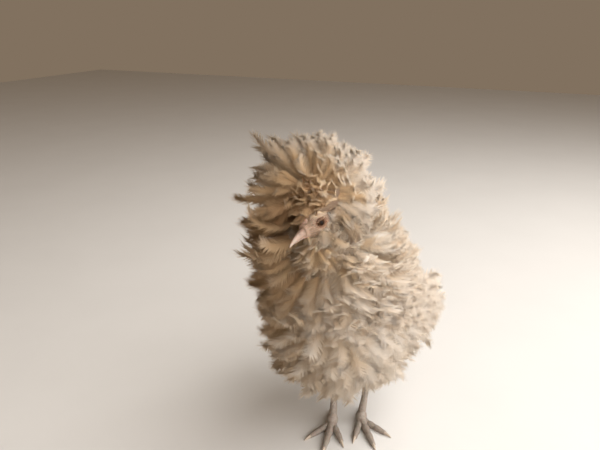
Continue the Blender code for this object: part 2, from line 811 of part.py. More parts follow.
def dress_neck(core):
    coat = Coat(core)
    rows = smooth_stations(NECK, 4)[3::3]
    for level, row in enumerate(rows):
        centre = place(*row[:3])
        for i in range(HACKLES_IN_ROW):
            spin = 2 * math.pi * (i + 0.5 * (level % 2)) / HACKLES_IN_ROW + wobble(0.08)
            out = Vector((math.sin(spin), -math.cos(spin), 0.16))
            longer = 1 + HACKLE_FAR_SIDE * max(0.0, -math.sin(spin)) * (level / len(rows)) ** 1.5
            length_now = HACKLE_LENGTH * longer * rng.uniform(0.9, 1.1)
            vane = curled(HACKLE_VANE, 0.3)
            coat.grow(centre, out, Vector((0, 0.15, -1)), length_now, **vane, twist=wobble(0.3))
    coat.finish()


def dress_torso(core):
    coat = Coat(core)
    rows = smooth_stations(TORSO, 2)[1:-1:2]
    for level, (forward, top, under, _) in enumerate(rows):
        centre = place(0, forward, (top + under) / 2)
        count = BODY_IN_ROW if 1 < level < 6 else BODY_IN_END_ROW
        for i in range(count):
            spin = 2 * math.pi * (i + 0.5 * (level % 2)) / count
            spin += 0.35 * math.sin(spin)
            ahead = max(0.0, (forward - 0.02) / 0.09)
            behind = max(0.0, (-forward - 0.07) / 0.06)
            out = Vector((math.sin(spin), -0.9 * ahead + 0.7 * behind, -math.cos(spin)))
            down = 0.25 + 1.1 * ahead + 0.9 * behind
            lie = Vector((0.8 * behind * math.sin(spin), 1 - 0.6 * behind, -down))
            length_now = BODY_LENGTH * rng.uniform(0.9, 1.12)
            vane = curled(BODY_VANE, 0.3)
            coat.grow(centre, out, lie, length_now, **vane, twist=wobble(0.25))
    coat.finish()


def dress_wing(core, side):
    coat = Coat(core)
    sideways, forward, up = WING_PLACE
    centre = place(side * sideways, forward, up)
    outward = Vector((side, 0, 0))
    # Flight feathers leave the rear edge in two tiers, the primaries below the secondaries.
    for count, length, width, low, high in FLIGHT_TIERS:
        for i in range(count):
            share = low + (high - low) * i / (count - 1)
            start = centre + Vector((0, 0.030, WING_SIZE[2] * share))
            out = Vector((side * 0.30, 1, share * 0.8 - 0.12))
            lie = Vector((side * (0.16 + 0.02 * i), 1, -0.55 + 0.45 * share))
            length_now = length * rng.uniform(0.93, 1.05)
            vane = curled({"width": width, "lift": FLIGHT_LIFT, "curl": FLIGHT_CURL}, 0.2)
            twist = side * FLIGHT_TWIST + wobble(0.15)
            coat.grow(start, out, lie, length_now, **vane, twist=twist, depth=0.012)
    # Coverts stand off the outer face.
    for row, (back, count, length) in enumerate(COVERT_ROWS):
        for i in range(count):
            start = centre + Vector((0, back, WING_SIZE[2] * (0.60 - 0.55 * i - 0.15 * (row % 2))))
            length_now = length * rng.uniform(0.9, 1.1)
            vane = curled(COVERT_VANE, 0.3)
            coat.grow(start, outward, Vector((0, 1, -0.35)), length_now, **vane, depth=0.005)
    coat.finish()


def tail_core():
    start = place(*TAIL_ROOT)
    way = Vector((0, math.cos(TAIL_RISE), math.sin(TAIL_RISE)))
    points = [start + way * (TAIL_STEM * s) for s in (-0.2, 0.3, 0.75, 1.0)]
    return tube("tail", points, TAIL_STEM_RADII, 3)


def dress_tail(core):
    coat = Coat(core)
    start = place(*TAIL_ROOT)
    way = Vector((0, math.cos(TAIL_RISE), math.sin(TAIL_RISE)))
    high = Vector((0, -math.sin(TAIL_RISE), math.cos(TAIL_RISE)))
    middle = start + way * (TAIL_STEM * 0.55)
    for count, length, width, fan, rise in TAIL_TIERS:
        for i in range(count):
            turn = math.radians(fan * (2 * i / (count - 1) - 1)) + wobble(0.05)
            tilt = math.radians(rise) + wobble(0.05)
            out = way * math.cos(tilt) + high * math.sin(tilt) + Vector((math.sin(turn) * 0.9, 0, 0))
            lie = way + Vector((math.sin(turn), 0, 0))
            length_now = TAIL_LENGTH * length * rng.uniform(0.9, 1.06)
            vane = curled({"width": width, "lift": TAIL_LIFT, "curl": TAIL_CURL}, 0.25)
            coat.grow(middle, out, lie, length_now, **vane, twist=wobble(0.3), depth=0.008)
    coat.finish()


def dress_thigh(core, side):
    coat = Coat(core)
    knee, hock = leg_place(side, KNEE), leg_place(side, HOCK, foot_shift(side) / 2)
    for level, (share, count, length) in enumerate(THIGH_ROWS):
        centre = knee.lerp(hock, share)
        for i in range(count):
            spin = 2 * math.pi * (i + 0.5 * (level % 2)) / count + 0.2
            out = Vector((math.sin(spin), -math.cos(spin), 0))
            length_now = length * rng.uniform(0.9, 1.1)
            vane = curled(THIGH_VANE, 0.3)
            coat.grow(centre, out, Vector((0, 0.3, -1)), length_now, **vane, steps=2, depth=0.004)
    coat.finish()


def centre_under(objs):
    """Moves every node so that the origin is the middle of the model's box, on the floor."""
    corners = np.array([v.co for obj in objs for v in obj.data.vertices])
    middle = (corners.min(0) + corners.max(0)) / 2
    for obj in objs:
        obj.data.transform(Matrix.Translation((-middle[0], -middle[1], 0)))


def make_head_nodes():
    """Head with its eyes, both halves of the beak, and the comb."""
    finish_node(make_head(), "face")
    for half in make_beak():
        finish_node(half, "beak")
    finish_node(make_comb(), "comb")


def make_crest():
    """The crest's own flesh, kept off the skull, the neck, the comb and the eyes."""
    crest = ball("crest", Head.at(*CREST_PLACE), CREST_SIZE, Head.turn(), 16, 12)
    cut(crest, skull_core("cutter", GAP), neck_core("cutter", GAP))
    forward, sideways, up = COMB_PLACE
    comb_room = Head.at(forward, sideways, up + 0.0005)
    cut(crest, ball("cutter", comb_room, COMB_ROOM, Head.turn(), 12, 8))
    cut(crest, eye_clearance(1), eye_clearance(-1))
    keep_largest(crest)
    return crest


def make_beard():
    beard = ball("beard", Head.at(*BEARD_PLACE), BEARD_SIZE, Head.turn(), 14, 8)
    cut(beard, skull_core("cutter", GAP), neck_core("cutter", GAP))
    keep_largest(beard)
    return beard


def make_neck():
    neck = neck_core()
    cut(neck, torso_core("cutter", GAP), skull_core("cutter", GAP))
    for side in (1, -1):
        cut(neck, eye_clearance(side), wing_core(side, "cutter", GAP))
    keep_largest(neck)
    return neck


def make_limbs():
    """Wings, thighs and tail, kept off the torso, then the shanks and feet."""
    wings = {side: wing_core(side) for side in (1, -1)}
    thighs = {side: thigh_core(side) for side in (1, -1)}
    tail = tail_core()
    for side, thigh in thighs.items():
        cut(thigh, shank_core(side, "cutter", GAP), wing_core(side, "cutter", GAP))
    for part in (*wings.values(), *thighs.values(), tail):
        cut(part, torso_core("cutter", GAP))
        keep_largest(part)
    for side in (1, -1):
        finish_node(shank_core(side), "leg")
        make_foot(side)
    return wings, thighs, tail


def main():
    clear_scene()
    make_head_nodes()
    torso, neck, crest, beard = torso_core(), make_neck(), make_crest(), make_beard()
    wings, thighs, tail = make_limbs()
    flesh = [obj for obj in bpy.data.objects if obj.type == "MESH"]

    Coat.trees["face"] = face_windows()
    for obj in flesh:
        Coat.trees[obj.name] = [tree_of(obj)]
    dress_crest(crest)
    dress_beard(beard)
    for side in (1, -1):
        dress_wing(wings[side], side)
        dress_thigh(thighs[side], side)
    dress_tail(tail)
    dress_neck(neck)
    dress_torso(torso)
    for obj in (crest, beard, neck, torso, tail, *wings.values(), *thighs.values()):
        finish_node(obj, "feather")

    centre_under(flesh)
    body = bpy.data.collections.new("crested_frizzle_hen")
    bpy.context.scene.collection.children.link(body)
    for obj in flesh:
        bpy.context.scene.collection.objects.unlink(obj)
        body.objects.link(obj)


main()
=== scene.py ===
# %% [markdown]
# # A crested, bearded hen in curled feathers
# The hen stands still, life size. Her body is one skin, and everything soft on her is feathers: each one is
# a real mesh, a thin curved vane with a fringe of barbs. This file first loads the solids that say
# where each part of her is, then builds the skin, the face, the horn and at last the coat.

# %% Load the solids that fix every place and size
from math import cos, pi, radians, sin

import bpy
import numpy as np
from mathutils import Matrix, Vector
from mathutils.bvhtree import BVHTree
from mathutils.kdtree import KDTree


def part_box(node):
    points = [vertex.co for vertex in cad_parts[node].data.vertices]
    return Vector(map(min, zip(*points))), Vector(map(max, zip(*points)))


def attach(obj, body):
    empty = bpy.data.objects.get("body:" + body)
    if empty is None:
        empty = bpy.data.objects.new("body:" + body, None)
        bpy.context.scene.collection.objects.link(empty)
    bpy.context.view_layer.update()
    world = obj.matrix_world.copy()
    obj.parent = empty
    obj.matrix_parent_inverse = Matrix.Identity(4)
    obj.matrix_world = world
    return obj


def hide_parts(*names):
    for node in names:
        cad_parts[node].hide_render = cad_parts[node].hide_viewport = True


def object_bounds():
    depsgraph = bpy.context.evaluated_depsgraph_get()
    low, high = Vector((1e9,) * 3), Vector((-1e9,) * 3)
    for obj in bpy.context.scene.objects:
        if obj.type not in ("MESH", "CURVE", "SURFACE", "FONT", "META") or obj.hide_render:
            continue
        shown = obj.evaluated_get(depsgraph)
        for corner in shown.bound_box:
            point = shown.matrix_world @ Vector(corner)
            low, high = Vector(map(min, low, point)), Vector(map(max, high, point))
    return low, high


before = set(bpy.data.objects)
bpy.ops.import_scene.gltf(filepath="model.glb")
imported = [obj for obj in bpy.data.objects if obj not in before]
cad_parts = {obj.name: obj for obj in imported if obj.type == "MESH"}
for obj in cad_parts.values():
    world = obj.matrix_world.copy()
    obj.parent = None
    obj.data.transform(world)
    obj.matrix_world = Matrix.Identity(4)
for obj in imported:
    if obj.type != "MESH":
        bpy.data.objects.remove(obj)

cad_box = [list(corner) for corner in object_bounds()]
print("box of the solids in metres:", np.round(cad_box, 4).tolist())

# %% [markdown]
# ## Where things are
# The hen faces -Y and her left side is at +X. Her head has axes of its own, because she looks to her right
# and a little down. The solids were centred on the floor after they were made, so one eye tells how far
# they were moved, and every place below is moved by the same amount.

# %% Places on the body and on the head
SEED = 11
HEAD_PLACE = np.array((-0.011, -0.086, 0.348))
HEAD_YAW = radians(24)
HEAD_DIP = radians(14)
EYE_PLACE = (0.006, 0.0110, 0.0035)  # ahead, to her left and up, along the head's own axes
EYE_RADIUS = 0.0058


def heading(turn, rise):
    """A unit vector from straight ahead, turned to her left and raised: (sin t cos r, -cos t cos r, sin r)."""
    return np.array((sin(turn) * cos(rise), -cos(turn) * cos(rise), sin(rise)))


AHEAD = heading(-HEAD_YAW, -HEAD_DIP)
LEFT = np.array((cos(HEAD_YAW), -sin(HEAD_YAW), 0.0))
UP = -np.cross(LEFT, AHEAD)
HEAD_AXES = np.array((AHEAD, LEFT, UP))

eye_low, eye_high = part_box("eye_left")
SHIFT = (np.array(eye_low) + np.array(eye_high)) / 2 - (HEAD_PLACE + np.array(EYE_PLACE) @ HEAD_AXES)
rng = np.random.default_rng(SEED)


def place(sideways, forward, up):
    """A point of the body: her left, forward and up, moved as the solids were."""
    return np.stack(np.broadcast_arrays(sideways, -np.asarray(forward, float), up), axis=-1) + SHIFT


def on_head(forward, sideways, up):
    """A point of the head: the head's place plus each amount times the head's own axis."""
    spot = np.stack(np.broadcast_arrays(forward, sideways, up), axis=-1)
    return HEAD_PLACE + SHIFT + spot @ HEAD_AXES


def in_head(points):
    """The head's own forward, sideways and up of points."""
    return (points - HEAD_PLACE - SHIFT) @ HEAD_AXES.T


def unit(vectors):
    """The vectors, each divided by its length."""
    return vectors / np.maximum(np.linalg.norm(vectors, axis=-1, keepdims=True), 1e-12)


def dot(a, b):
    return (a * b).sum(axis=-1)


def rising(value, start, run):
    """0 up to start and 1 from start + run on, straight between: (value - start) / run."""
    return np.clip((value - start) / run, 0, 1)


def falling(value, end, run):
    """1 up to end - run and 0 from end on, straight between: (end - value) / run."""
    return np.clip((end - value) / run, 0, 1)


print("the solids were moved by", np.round(SHIFT, 4))

# %% [markdown]
# ## From arrays to meshes
# A surface here is an array of rows of points. One helper turns such a grid into faces, another writes
# points and faces into a mesh in one go, and a third gives back what a chain of modifiers made.


# %% Grid and mesh helpers
def turns(count):
    """Angles evenly round a circle: 2 pi i / count."""
    return np.arange(count) * 2 * pi / count


def tube_sides(rows, columns):
    """Triangles between rows of columns points, each row closed round its columns."""
    r, c = np.meshgrid(np.arange(rows - 1), np.arange(columns), indexing="ij")
    a, b = r * columns + c, r * columns + (c + 1) % columns
    return np.stack((a, b, b + columns, a, b + columns, a + columns), axis=-1).reshape(-1, 3)


def volume(points, faces):
    """A sixth of the sum of a . (b x c) over the triangles."""
    a, b, c = (points[faces[:, i]] for i in range(3))
    return dot(a, np.cross(b, c)).sum() / 6


def outward(points, faces):
    """The faces, turned over if they enclose a negative volume."""
    middle = points.mean(axis=0)
    return faces if volume(points - middle, faces) > 0 else faces[:, ::-1]


def closed_grid(rings):
    """Points and faces of rings joined one to the next, each end closed by a fan to its ring's middle."""
    rows, columns, _ = rings.shape
    points = np.concatenate((rings.reshape(-1, 3), rings[[0, -1]].mean(axis=1)))
    ring, last = np.arange(columns), (rows - 1) * columns
    after, middle = np.roll(ring, -1), np.full(columns, rows * columns)
    first_cap = np.stack((middle, after, ring), axis=-1)
    last_cap = np.stack((middle + 1, last + ring, last + after), axis=-1)
    return points, outward(points, np.concatenate((tube_sides(rows, columns), first_cap, last_cap)))


def looped_grid(rings):
    """Points and faces of rings joined in a loop, so that the surface has no end."""
    rows, columns, _ = rings.shape
    points = rings.reshape(-1, 3)
    return points, outward(points, tube_sides(rows + 1, columns) % (rows * columns))


def joined(parts):
    """Several (points, faces) as one."""
    starts = np.cumsum([0] + [len(points) for points, _ in parts[:-1]])
    points = np.concatenate([part[0] for part in parts])
    faces = np.concatenate([part[1] + start for part, start in zip(parts, starts)])
    return points, faces


def mesh_object(name, points, faces, smooth=True):
    """A mesh object at the origin made from arrays of points and triangles."""
    mesh = bpy.data.meshes.new(name)
    mesh.vertices.add(len(points))
    mesh.vertices.foreach_set("co", np.ascontiguousarray(points, np.float32).ravel())
    mesh.loops.add(faces.size)
    mesh.loops.foreach_set("vertex_index", np.ascontiguousarray(faces, np.int32).ravel())
    mesh.polygons.add(len(faces))
    mesh.polygons.foreach_set("loop_start", np.arange(0, faces.size, 3, dtype=np.int32))
    mesh.update(calc_edges=True)
    if smooth:
        mesh.shade_smooth()
    obj = bpy.data.objects.new(name, mesh)
    bpy.context.scene.collection.objects.link(obj)
    return obj


def arrays_of(obj):
    """The points and triangles of a mesh object."""
    mesh = obj.data
    mesh.calc_loop_triangles()
    points = np.empty(len(mesh.vertices) * 3, np.float32)
    mesh.vertices.foreach_get("co", points)
    faces = np.empty(len(mesh.loop_triangles) * 3, np.int32)
    mesh.loop_triangles.foreach_get("vertices", faces)
    return points.reshape(-1, 3).astype(float), faces.reshape(-1, 3)


def settle(obj):
    """Puts what the object's modifiers make into its mesh."""
    graph = bpy.context.evaluated_depsgraph_get()
    made = bpy.data.meshes.new_from_object(obj.evaluated_get(graph))
    obj.modifiers.clear()
    obj.data = made


def combine(obj, others, operation):
    """One Boolean per tool, with both meshes closed, applied at once."""
    for other in others:
        cutter = obj.modifiers.new(operation.lower(), "BOOLEAN")
        cutter.operation = operation
        cutter.solver = "MANIFOLD"
        cutter.object = other
        settle(obj)
        bpy.data.objects.remove(other)
    return obj


def smooth_rows(stations, steps):
    """A Catmull-Rom curve through the rows: cubic pieces that pass through each row, steps to a gap."""
    rows = np.array(stations, float)
    padded = np.vstack((2 * rows[0] - rows[1], rows, 2 * rows[-1] - rows[-2]))
    t = (np.arange(steps) / steps)[:, None]
    pieces = [
        0.5 * (2 * b + (c - a) * t + (2 * a - 5 * b + 4 * c - d) * t**2 + (3 * b - a - 3 * c + d) * t**3)
        for a, b, c, d in zip(padded, padded[1:], padded[2:], padded[3:])
    ]
    return np.vstack(pieces + [rows[-1:]])


def rings_along(centres, wide, high, half_width, half_height, sides):
    """Ellipses: centre + cos(turn) * half width * wide + sin(turn) * half height * high."""
    turn = turns(sides)
    x = np.cos(turn)[None, :, None] * np.asarray(half_width)[:, None, None] * wide[:, None, :]
    z = np.sin(turn)[None, :, None] * np.asarray(half_height)[:, None, None] * high[:, None, :]
    return centres[:, None, :] + x + z


def frames_along(points, hint):
    """Unit wide and high vectors square to the path, with wide kept near the hint."""
    along = unit(np.gradient(points, axis=0))
    wide = unit(hint - along * dot(along, hint)[:, None])
    return wide, np.cross(along, wide)


def tube(centres, hint, radii, sides, squash=1.0):
    """A closed tube of rings along the centres, its width squash times its height."""
    wide, high = frames_along(centres, hint)
    return closed_grid(rings_along(centres, wide * squash, high, radii, radii, sides))


def ellipsoid(centre, sizes, axes, rows=40, columns=48):
    """centre + the sizes times (cos(rise) cos(turn), cos(rise) sin(turn), sin(rise)) along the three axes."""
    rise = np.linspace(-pi / 2, pi / 2, rows + 2)[1:-1, None]
    turn = turns(columns)[None, :]
    ball = np.stack(
        np.broadcast_arrays(np.cos(rise) * np.cos(turn), np.cos(rise) * np.sin(turn), np.sin(rise)), axis=-1
    )
    return closed_grid(centre + (ball * np.asarray(sizes)) @ np.asarray(axes))


# %% [markdown]
# ## The skin of the body
# Under her coat the hen is slim. Each part of the trunk is a simple surface: a row of ellipses along the
# torso and the neck, ellipsoids for the folded wings and for the knobs that carry the crest and the beard.
# A voxel remesh melts them into one closed surface and a little smoothing rounds the joins, which is how
# flesh meets flesh. The coat starts a little inside the solids, so everything is made smaller by SINK.

# %% Trunk parts
SINK = 0.0045
TORSO = (  # forward, top line, under line, half width
    (-0.122, 0.238, 0.194, 0.015),
    (-0.112, 0.249, 0.163, 0.037),
    (-0.084, 0.256, 0.137, 0.056),
    (-0.044, 0.260, 0.126, 0.064),
    (0.000, 0.264, 0.125, 0.063),
    (0.036, 0.270, 0.130, 0.058),
    (0.062, 0.268, 0.146, 0.050),
    (0.080, 0.254, 0.172, 0.034),
    (0.088, 0.234, 0.196, 0.015),
)
NECK = (  # sideways, forward, up, radius
    (0.000, 0.020, 0.226, 0.054),
    (-0.001, 0.032, 0.262, 0.052),
    (-0.008, 0.043, 0.292, 0.047),
    (-0.018, 0.054, 0.318, 0.040),
    (-0.015, 0.064, 0.338, 0.026),
)
CREST_PLACE = np.array((-0.017, -0.006, 0.030))
CREST_KNOB = np.array((0.031, 0.032, 0.026))  # backwards, left and up
BEARD_PLACE = np.array((0.009, 0.0, -0.030))
BEARD_KNOB = np.array((0.014, 0.020, 0.014))
WING_PLACE = (0.060, -0.012, 0.200)
WING_SIZE = np.array((0.015, 0.070, 0.036))
WING_DROOP = radians(9)
WING_TOE_IN = radians(7)
TAIL_ROOT = (0.0, -0.106, 0.226)
TAIL_RISE = radians(20)
TAIL_STEM = 0.028
HOCK = np.array((0.025, -0.028, 0.101))
KNEE = np.array((0.034, 0.006, 0.158))
ANKLE = np.array((0.018, -0.011, 0.0175))
LEAN = 0.002
FOOT_SHIFT = {1: -0.010, -1: 0.015}  # her right foot stands ahead of her left one
THIGH_RADII = (0.030, 0.0245, 0.014, 0.0078)
TAIL_RADII = (0.018, 0.018, 0.014, 0.006)
TORSO_SIDES, NECK_SIDES, LIMB_SIDES = 64, 56, 32
SIDEWAYS, SKYWARD = np.array((1.0, 0.0, 0.0)), np.array((0.0, 0.0, 1.0))
SIDES = ((1, "left"), (-1, "right"))
TAIL_WAY = np.array((0.0, cos(TAIL_RISE), sin(TAIL_RISE)))
TAIL_HIGH = np.array((0.0, -sin(TAIL_RISE), cos(TAIL_RISE)))


def leg_spot(side, spot, shift=0.0):
    """A point of a leg, mirrored for her right one, with the foot's shift forward."""
    return place(side * spot[0] + LEAN, spot[1] + shift, spot[2])


def wing_middle(side):
    """The middle of a folded wing."""
    return place(side * WING_PLACE[0], *WING_PLACE[1:])


def torso_part():
    """Ellipses between the top line and the under line, as wide as the rows say."""
    rows = smooth_rows(TORSO, 6)
    centres = place(0.0, rows[:, 0], (rows[:, 1] + rows[:, 2]) / 2)
    wide, high = np.ones((len(rows), 1)) * SIDEWAYS, np.ones((len(rows), 1)) * SKYWARD
    half_width, half_height = np.maximum(rows[:, 3] - SINK, 0.004), (rows[:, 1] - rows[:, 2]) / 2 - SINK
    return closed_grid(rings_along(centres, wide, high, half_width, half_height, TORSO_SIDES))


def neck_part():
    """A tube through the rows of the neck."""
    rows = smooth_rows(NECK, 6)
    return tube(place(*rows[:, :3].T), SIDEWAYS, rows[:, 3] - SINK, NECK_SIDES)


def wing_part(side):
    """An ellipsoid whose axes droop to the rear and toe in, as rotations about her own axes."""
    droop, toe = -WING_DROOP, -WING_TOE_IN * side
    tilt = np.array(((1, 0, 0), (0, cos(droop), sin(droop)), (0, -sin(droop), cos(droop))))
    swing = np.array(((cos(toe), sin(toe), 0), (-sin(toe), cos(toe), 0), (0, 0, 1)))
    return ellipsoid(wing_middle(side), WING_SIZE - SINK / 2, swing @ tilt)


def thigh_part(side):
    """A tube from knee to hock that narrows on the way down."""
    knee, hock = leg_spot(side, KNEE), leg_spot(side, HOCK, FOOT_SHIFT[side] / 2)
    share = np.linspace(0, 1, 16)
    centres = knee + share[:, None] * (hock - knee)
    radii = np.interp(share, (0, 0.35, 0.72, 1), THIGH_RADII) - SINK * (1 - share) ** 0.5
    return tube(centres, SIDEWAYS, radii, LIMB_SIDES)


def tail_part():
    """The stem of the tail, which starts inside the torso."""
    share = np.linspace(-0.4, 1.0, 14)
    centres = place(*TAIL_ROOT) + share[:, None] * TAIL_STEM * TAIL_WAY
    return tube(centres, SIDEWAYS, np.interp(share, (-0.4, 0.3, 0.75, 1.0), TAIL_RADII), LIMB_SIDES)


KNOB_AXES = np.array((-AHEAD, LEFT, UP))
trunk_parts = {"torso": torso_part(), "neck": neck_part()}
trunk_parts |= {f"wing_{name}": wing_part(side) for side, name in SIDES}
trunk_parts |= {f"thigh_{name}": thigh_part(side) for side, name in SIDES}
trunk_parts["tail"] = tail_part()
trunk_parts["crest"] = ellipsoid(on_head(*CREST_PLACE), CREST_KNOB, KNOB_AXES)
trunk_parts["beard"] = ellipsoid(on_head(*BEARD_PLACE), BEARD_KNOB, KNOB_AXES)
print("trunk parts:", ", ".join(trunk_parts))

# %% Melt the trunk parts into one surface
TRUNK_VOXEL = 0.003
ROUNDING = 10

trunk = mesh_object("trunk", *joined(list(trunk_parts.values())))
remesh = trunk.modifiers.new("melt", "REMESH")
remesh.mode = "VOXEL"
remesh.voxel_size = TRUNK_VOXEL
rounding = trunk.modifiers.new("round", "SMOOTH")
rounding.factor = 0.5
rounding.iterations = ROUNDING
settle(trunk)
print("trunk faces:", len(trunk.data.polygons))

# %% [markdown]
# ## The head
# The skull is a row of ellipses on the head's own axis. The eye sits in a socket, and the lids are a closed
# ring that follows the eyeball: its inner edge is an almond, and it thins into the cheek. Shallow
# ripples round the almond are the folds of bare skin, and a groove runs back from the gape.

# %% Skull with brow, gape and cheek
SKULL = (  # forward, raise, half width, half height
    (-0.029, 0.000, 0.006, 0.007),
    (-0.024, 0.001, 0.0115, 0.0125),
    (-0.013, 0.002, 0.0155, 0.0175),
    (0.000, 0.002, 0.0158, 0.0180),
    (0.010, 0.000, 0.0135, 0.0155),
    (0.018, -0.002, 0.0098, 0.0115),
    (0.024, -0.0035, 0.0068, 0.0085),
)
SKULL_STEPS = 22
SKULL_SIDES = 168
BROW = (0.0009, (0.006, 0.0102), (0.008, 0.0022))  # height, place and reach, both forward and up
CHEEK = (0.0009, (0.012, -0.0045), (0.006, 0.003))
GAPE_DEPTH, GAPE_WIDTH = 0.0007, 0.0009
SKIN_RIPPLE = 0.00012


def hill(distance, width):
    """A bell curve: exp(-(distance / width) ** 2)."""
    return np.exp(-((distance / width) ** 2))


def mound(forward, up, height, place, reach):
    """A low mound on a side of the head: the height times one bell curve forward and one up."""
    return height * hill(forward - place[0], reach[0]) * hill(up - place[1], reach[1])


def gape_line(forward):
    """The level of the mouth's line behind the beak."""
    return -0.0082 - 0.16 * (0.024 - forward)


def skull_part():
    """Ellipses pushed out at brow and cheek and in at the gape, with fine ripples all over."""
    rows = smooth_rows(SKULL, SKULL_STEPS)
    turn = turns(SKULL_SIDES)
    forward = np.repeat(rows[:, :1], SKULL_SIDES, axis=1)
    ripple = SKIN_RIPPLE * np.sin(forward * 2600 + 3 * np.sin(turn * 5)) * np.sin(turn * 34 + forward * 900)
    sideways = np.cos(turn) * (rows[:, 2:3] + ripple)
    up = rows[:, 1:2] + np.sin(turn) * (rows[:, 3:4] + ripple)
    groove = GAPE_DEPTH * hill(up - gape_line(forward), GAPE_WIDTH) * rising(forward, 0.009, 0.006)
    swell = mound(forward, up, *BROW) - groove + mound(forward, up, *CHEEK)
    push = 1 + swell / np.maximum(rows[:, 2:3], 0.004)
    return closed_grid(on_head(forward, sideways * push, up))


# %% Eyelids as a ring round the eyeball
LID_SIDES = 120
LID_ROUND = 28
ALMOND_LONG = radians(68)
ALMOND_HIGH = radians(37)
ALMOND_POWER = 1.6
LID_REACH = radians(34)
LID_LIFT = 0.00030
LID_THICKNESS = 0.00045
LID_DROP = 0.0019
LID_FOLDS = 3.0
LID_FOLD_HEIGHT = 0.00014
ALMOND_TILT = radians(-9)
EYE_WAY = np.array((0.26, 0.95, 0.10))


def eye_axes(side):
    """The eye looks out and a little ahead: rows are its forward, outward and up in the head's own axes."""
    out = unit(EYE_WAY * (1, side, 1))
    forward = unit(np.array((1.0, 0, 0)) - out * out[0])
    return np.array((forward, out, np.cross(forward, out) * side))


def lid_part(side):
    """Points on a sphere about the eye: the angle from the eye's axis runs from the almond's edge outwards.

    With q from 0 at the edge to 1 at the cheek, the distance from the eye's middle is the eye's
    radius + lift + thickness * sin(turn round the lid) - drop * q ** 2, with folds on the outer face.
    """
    spin = turns(LID_SIDES)[:, None]
    turn = turns(LID_ROUND)[None, :]
    long_way, high_way = np.cos(spin - ALMOND_TILT), np.sin(spin - ALMOND_TILT)
    flat = np.abs(long_way / ALMOND_LONG) ** ALMOND_POWER + np.abs(high_way / ALMOND_HIGH) ** ALMOND_POWER
    edge = flat ** (-1 / ALMOND_POWER)
    q = (1 - np.cos(turn)) / 2
    outer = np.clip(np.sin(turn), 0, 1)
    folds = LID_FOLD_HEIGHT * outer * np.sin(q * LID_FOLDS * 2 * pi) * (0.6 + 0.4 * np.abs(high_way))
    angle = edge + LID_REACH * q
    reach = EYE_RADIUS + LID_LIFT + LID_THICKNESS * np.sin(turn) - LID_DROP * q**2 + folds
    spot = np.stack((np.sin(angle) * np.cos(spin), np.cos(angle), np.sin(angle) * np.sin(spin)), axis=-1)
    spot = (spot * reach[..., None]) @ eye_axes(side) + np.array(EYE_PLACE) * (1, side, 1)
    return looped_grid(on_head(spot[..., 0], spot[..., 1], spot[..., 2]))


SOCKET_ROOM = 0.0001


def eye_middle(side):
    """The middle of an eyeball."""
    return on_head(EYE_PLACE[0], side * EYE_PLACE[1], EYE_PLACE[2])


def eye_ball(side, room=0.0):
    """An eyeball, or with room the socket round it."""
    return ellipsoid(eye_middle(side), np.full(3, EYE_RADIUS + room), HEAD_AXES, 40, 56)


skull = skull_part()
head = mesh_object("head_skin", *skull)
for side, name in SIDES:
    combine(head, [mesh_object("socket", *eye_ball(side, SOCKET_ROOM))], "DIFFERENCE")
    combine(head, [mesh_object("lid", *lid_part(side))], "UNION")
print("head faces:", len(head.data.polygons))

# %% [markdown]
# ## Scaly legs
# A shank is a tube whose surface steps outwards from scale to scale: two columns of big plates in
# front, set half a plate apart, and small scales behind. A toe has one row of plates on top and soft
# pads below, which press flat on the floor.

# %% Shanks
SHANK_ROWS = 150
SHANK_SIDES = 44
SHANK_SHARES = (-0.13, 0.0, 0.10, 0.30, 0.75, 0.92, 1.06)  # from above the hock to below the ankle
SHANK_RADII = (0.0062, 0.0074, 0.0068, 0.0054, 0.0050, 0.0060, 0.0062)
PLATE_PITCH = 0.0052
PLATE_STEP = 0.00055
SMALL_SCALE = 0.00018


def plates(along, pitch, step):
    """A saw wave with a rounded drop: each plate rises by step over its length and ends in a lip."""
    phase = (along / pitch) % 1.0
    return step * (phase**1.4) * falling(phase, 1, 0.14)


def shank_part(side):
    """Radius = a waisted tube + plates in front + small round scales behind, round the shank's line."""
    hock = leg_spot(side, HOCK, FOOT_SHIFT[side] / 2)
    ankle = leg_spot(side, ANKLE, FOOT_SHIFT[side])
    way = unit(ankle - hock)
    share = np.linspace(SHANK_SHARES[0], SHANK_SHARES[-1], SHANK_ROWS)[:, None]
    length = np.linalg.norm(ankle - hock)
    turn = turns(SHANK_SIDES)[None, :]
    radius = np.interp(share, SHANK_SHARES, SHANK_RADII)
    front = np.clip(np.cos(turn) * 1.7, 0, 1)
    along = share * length
    columns = np.where(np.sin(turn) > 0, 0.0, PLATE_PITCH / 2)
    seam = rising(np.abs(np.sin(turn)), 0, 0.16)
    big = plates(along + columns, PLATE_PITCH, PLATE_STEP) * seam
    small = SMALL_SCALE * np.sin(along / 0.0021 * pi) * np.sin(turn * 9 + (along / 0.0042) * pi)
    radius = radius + front * big + (1 - front) * small
    ahead = unit(np.array((0.0, -1.0, 0.0)) + way * way[1])
    wide = np.cross(way, ahead)
    centres = hock + share * length * way
    ring = np.cos(turn)[..., None] * ahead * 1.10 + np.sin(turn)[..., None] * wide * 0.90
    return closed_grid(centres[:, None, :] + ring * radius[..., None])


